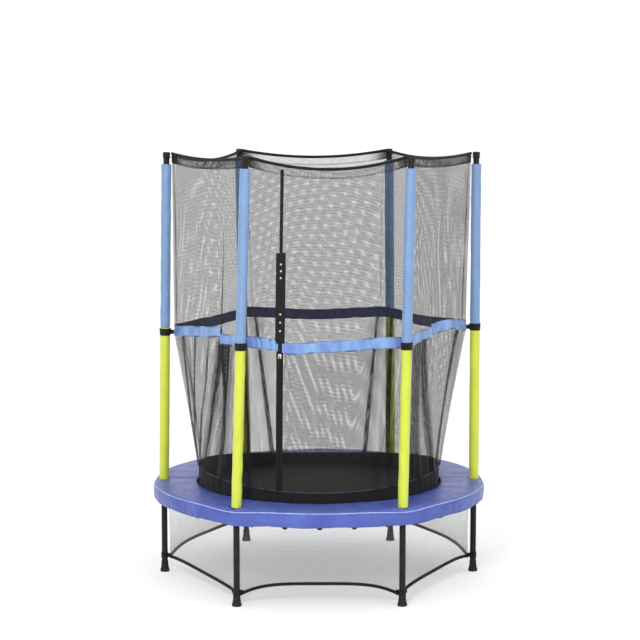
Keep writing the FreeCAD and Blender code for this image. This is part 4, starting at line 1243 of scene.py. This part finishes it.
def sleeve(name, turn, low, high, strap_z, finish):
    """Foam tube in a PVC skin: soft rounded ends, small dents and a welded seam at the back."""
    around, tall = 48, 150
    profile = []
    for step in np.linspace(0, math.pi / 2, 6):
        profile.append((SLEEVE_R - 0.003 * (1 - math.sin(step)), low + 0.003 * (1 - math.cos(step))))
    for z in np.linspace(low + 0.004, high - 0.004, tall):
        profile.append((SLEEVE_R, z))
    for step in np.linspace(math.pi / 2, 0, 6):
        profile.append((SLEEVE_R - 0.003 * (1 - math.sin(step)), high - 0.003 * (1 - math.cos(step))))
    profile += [(SLEEVE_BORE_R, high - 0.0005), (SLEEVE_BORE_R, high - 0.02),
                (SLEEVE_BORE_R, low + 0.02), (SLEEVE_BORE_R, low + 0.0005)]
    radius, z = (np.array(values)[:, None] for values in zip(*profile))
    turns = np.linspace(0, 2 * math.pi, around, endpoint=False)[None, :]
    skin = (radius > SLEEVE_BORE_R + 0.001).astype(float)
    part = (z - low) / (high - low)
    dents = ripple(turns / (2 * math.pi) + 0 * z, part + 0 * turns, random_waves(5, 0.00035, (1, 4), (-9, 9)))
    squeeze = 0.0014 * (bell(z, strap_z, 0.018) + 0 * turns)
    seam = 0.0009 * bell(np.abs(turns - math.pi / 2), 0, 0.07)
    reach = radius + skin * (dents - squeeze - seam)
    axis = leaned(turn, SITE_R, z[:, 0])
    ring = around_post(turn, turns)[2]
    points = axis[:, None] + ring * reach[..., None]
    cloth = np.stack(np.broadcast_arrays(turns * SLEEVE_R, z), -1)
    faces = lattice_faces(len(profile), around, wrap=True, wrap_rows=True)
    piece = mesh_object(name, points, faces, finish, cloth)
    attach(piece, "frame")
    return piece


def sleeves():
    for site, turn in SITES.items():
        strap_z = POST_JOINT - STRAP_DOWN.get(site, 0.0)
        lower = sleeve(f"lower_sleeve_{site}", turn, SLEEVE_FOOT + 0.0005, POST_JOINT - 0.0005, strap_z,
                       "lime_sleeve")
        upper = sleeve(f"upper_sleeve_{site}", turn, POST_JOINT, SLEEVE_TOP - 0.0005, strap_z, "blue_sleeve")
        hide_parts("lower_foam_sleeves")
        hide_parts("upper_foam_sleeves")


def straps():
    """Webbing strap round each post's joint, its end lapped over and sewn, with a tab to the net."""
    half_h = 14.5 * MM
    for site, turn in SITES.items():
        height = POST_JOINT - STRAP_DOWN.get(site, 0.0)
        turns, v = np.meshgrid(np.linspace(0, STRAP_TURNS * 2 * math.pi, 84), np.linspace(-1, 1, 9))
        lap = np.clip((turns - 2 * math.pi) / 0.25, 0, 1)
        reach = SLEEVE_R + 0.0014 + 0.0014 * lap + 0.0003 * np.sin(turns * 7) * v ** 2 + 0.0008 * v
        z = height + half_h * v
        axis = leaned(turn, SITE_R, z)
        out, side, ring = around_post(turn, turns)
        band = thicken(lattice(f"post_strap_{site}", axis + ring * reach[..., None], "black_webbing"),
                       1.2 * MM, 1.0)
        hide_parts("post_straps")
        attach(band, "frame")
        u, w = np.meshgrid(np.linspace(0, 1, 14), np.linspace(-1, 1, 7))
        inward = SLEEVE_R + 0.001 + STRAP_TAB[0] * u
        z = height + STRAP_TAB[1] / 2 * w * (1 - 0.15 * u) - 0.001 * u
        axis = leaned(turn, SITE_R, z)
        tab_points = axis - out * inward[..., None] + side * (0.0015 * np.sin(u * 5) * w)[..., None]
        tab = thicken(lattice(f"post_strap_tab_{site}", tab_points, "black_webbing"), 2.0 * MM, 0.0)
        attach(tab, "frame")


def rope_ties():
    """A few turns of elastic that hold the rope to each cap's neck."""
    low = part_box("rope_ties")[0].z
    for site, turn in SITES.items():
        turns = np.linspace(0, 2 * math.pi * 3, 120)
        z = low + 0.0015 + 0.0045 * turns / turns[-1]
        axis = leaned(turn, SITE_R, z)
        ring = around_post(turn, turns)[2]
        over_rope = 0.0125 * np.clip((turns - 4 * math.pi) / 0.6, 0, 1) * np.clip(np.sin(turns), 0, 1) ** 1.5
        reach = CAP_NECK_R + 0.0015 + 0.0003 * np.sin(turns * 2.3) + over_rope
        piece = tube(f"rope_tie_{site}", axis + ring * reach[:, None], 1.1 * MM, "black_elastic", 8)
        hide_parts("rope_ties")
        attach(piece, "frame")


# Netting between the legs

def hem_point(side, share):
    """Line of the hem: straight in plan, rising fast from each leg and nearly level between."""
    ends = [at(turn, APRON_FOOT_R, HEM_AT_LEG[site_at(turn)] - HEM_DIP.get(site_at(turn), 0.0))
            for turn in (SIDES[side] - HALF_SIDE, SIDES[side] + HALF_SIDE)]
    share = np.asarray(share, float)
    point = ends[0] + (ends[1] - ends[0]) * share[..., None]
    point[..., 2] += HEM_RISE[side] * (1 - np.abs(2 * share - 1) ** 4)
    return point


def apron_surface(side, angle):
    waves = random_waves(5, 0.0025, (1, 7), (-0.4, 0.4))

    def surface(u, v):
        low = hem_point(side, u) + UP * 0.004
        high = at(arc_angle(angle, u), APRON_TOP_R, APRON_TOP)
        point = low + (high - low) * v[..., None]
        bow = ripple(u, v, waves) * np.sin(math.pi * v)
        return point + side_outward(angle) * bow[..., None]
    return surface


def apron_thread(u, v):
    """The apron is pulled wide open at its top and closer knit towards its hem."""
    return 0.09 + 0.13 * (1 - v) ** 1.5


def bound_edge(turn, run):
    """A cord rolled in cloth: slightly lumpy."""
    return 0.94 + 0.06 * np.sin(run * 2 * math.pi / 0.012 + turn)


def apron():
    for side, angle in SIDES.items():
        width = SITE_R
        height = APRON_TOP - float(hem_point(side, 0.5)[2])
        net = knit(f"apron_net_{side}", apron_surface(side, angle), width, height, apron_thread, "grey_net")
        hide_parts("apron_net")
        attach(net, "frame")
        path = hem_point(side, np.linspace(0.004, 0.996, 160))
        hem = tube(f"apron_hem_{side}", path, APRON_HEM_R, "black_webbing", 12, relief=bound_edge)
        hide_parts("apron_hem")
        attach(hem, "frame")


def leg_ties():
    """Webbing tied round each leg over the hem's ends, with a sewn ear to each side."""
    for site, turn in SITES.items():
        low = HEM_AT_LEG[site] - TIE_BELOW - HEM_DIP.get(site, 0.0) / 2
        turns, v = np.meshgrid(np.linspace(0, LEG_TIE_TURNS * 2 * math.pi, 72), np.linspace(0, 1, 8))
        reach = TUBE_R + 0.0006 + 0.0012 * turns / turns.max() + 0.0003 * np.sin(turns * 5 + v * 3)
        out, side, ring = around_post(turn, turns)
        centre = at(turn, SITE_R, 0.0)
        points = centre + ring * reach[..., None] + UP * (low + TIE_H * v)[..., None]
        piece = thicken(lattice(f"leg_tie_{site}", points, "black_webbing"), 0.9 * MM, 1.0)
        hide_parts("leg_ties")
        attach(piece, "frame")
        u, v = np.meshgrid(np.linspace(0, 1, 12), np.linspace(0, 1, 8))
        inward = TUBE_R + 0.001 + 0.010 * u
        loop = (centre - out * inward[..., None] + side * (0.0010 * np.sin(5 * u + 2 * v))[..., None]
                + UP * (low + 0.004 + 0.016 * v)[..., None])
        tab = thicken(lattice(f"leg_tie_tab_{site}", loop, "black_webbing"), 2.4 * MM, 0.0)
        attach(tab, "frame")
        for hand, name in ((-1, "left"), (1, "right")):
            aside = hand * (TUBE_R - 0.004 + 0.018 * u)
            back = TUBE_R * (1 - 0.15 * u) - 0.004
            z = low + 0.006 + 0.016 * v + 0.004 * u * v
            ear = centre + side * aside[..., None] - out * back[..., None] + UP * z[..., None]
            flap = thicken(lattice(f"leg_tie_ear_{site}_{name}", ear, "black_webbing"), 1.8 * MM, 0.0)
            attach(flap, "frame")


def finish_cad_nodes():
    """CAD nodes that stay keep their shape and get the procedural finish of their slot."""
    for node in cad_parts.values():
        for slot in node.material_slots:
            base = slot.material.name.split(".")[0] if slot.material else ""
            slot.material = FINISH.get(base, FINISH["black_frame_paint"])


# Camera, light and floor

CAMERA_LENS, CAMERA_SENSOR, CAMERA_SHIFT = 106.5, 36, 0.0017
CAMERA_AT, CAMERA_AIM = (-0.0346, -7.9228, 1.9809), (0, 0, 1.079)
FLOOR_REACH, FLOOR_GREY, FLOOR_GLOW, SKY = 40.0, 0.60, 0.41, 1.06


def camera():
    data = bpy.data.cameras.new("camera")
    data.lens = CAMERA_LENS
    data.sensor_width = CAMERA_SENSOR
    data.clip_end = 100
    data.shift_x = CAMERA_SHIFT
    eye = bpy.data.objects.new("camera", data)
    bpy.context.scene.collection.objects.link(eye)
    eye.location = CAMERA_AT
    aim = Vector(CAMERA_AIM) - eye.location
    eye.rotation_euler = aim.to_track_quat("-Z", "Y").to_euler()
    bpy.context.scene.camera = eye


def area_light(name, place, aim, size, power):
    data = bpy.data.lights.new(name, "AREA")
    data.shape = "DISK"
    data.size = size
    data.energy = power
    lamp = bpy.data.objects.new(name, data)
    bpy.context.scene.collection.objects.link(lamp)
    lamp.location = place
    lamp.rotation_euler = (Vector(aim) - Vector(place)).to_track_quat("-Z", "Y").to_euler()


def studio():
    world = bpy.data.worlds.new("studio")
    bpy.context.scene.world = world
    world.use_nodes = True
    sky = world.node_tree.nodes["Background"]
    sky.inputs["Color"].default_value = (1, 1, 1, 1)
    sky.inputs["Strength"].default_value = SKY
    area_light("key", place=(-1.3, -5.5, 3.4), aim=(0, 0, 0.9), size=1.2, power=170)
    area_light("fill", place=(3.5, -3.0, 2.5), aim=(0, 0, 0.9), size=3.0, power=20)
    bpy.context.scene.view_settings.view_transform = "Standard"


def floor():
    """White ground that glows a little, like a light table, so that the shadow stays faint."""
    reach = FLOOR_REACH
    points = np.array([[-reach, -reach, 0], [reach, -reach, 0], [reach, reach, 0], [-reach, reach, 0]])
    material, _, shader = nodes_for("floor", (FLOOR_GREY,) * 3, 0.8, specular=0.0)
    shader.inputs["Emission Color"].default_value = (1, 1, 1, 1)
    shader.inputs["Emission Strength"].default_value = FLOOR_GLOW
    FINISH["floor"] = material
    plane = mesh_object("floor", points, np.array([[0, 1, 2, 3]]), "floor", smooth=False)


camera()
finish_cad_nodes()
pad_cover()
pad_skirt()
sleeves()
straps()
rope_ties()
mat()
elastic_loops()
foot_band()
middle_band()
lower_net()
upper_net()
top_rope()
top_hem()
zip_tape()
zip_teeth()
door()
apron()
leg_ties()
studio()
floor()
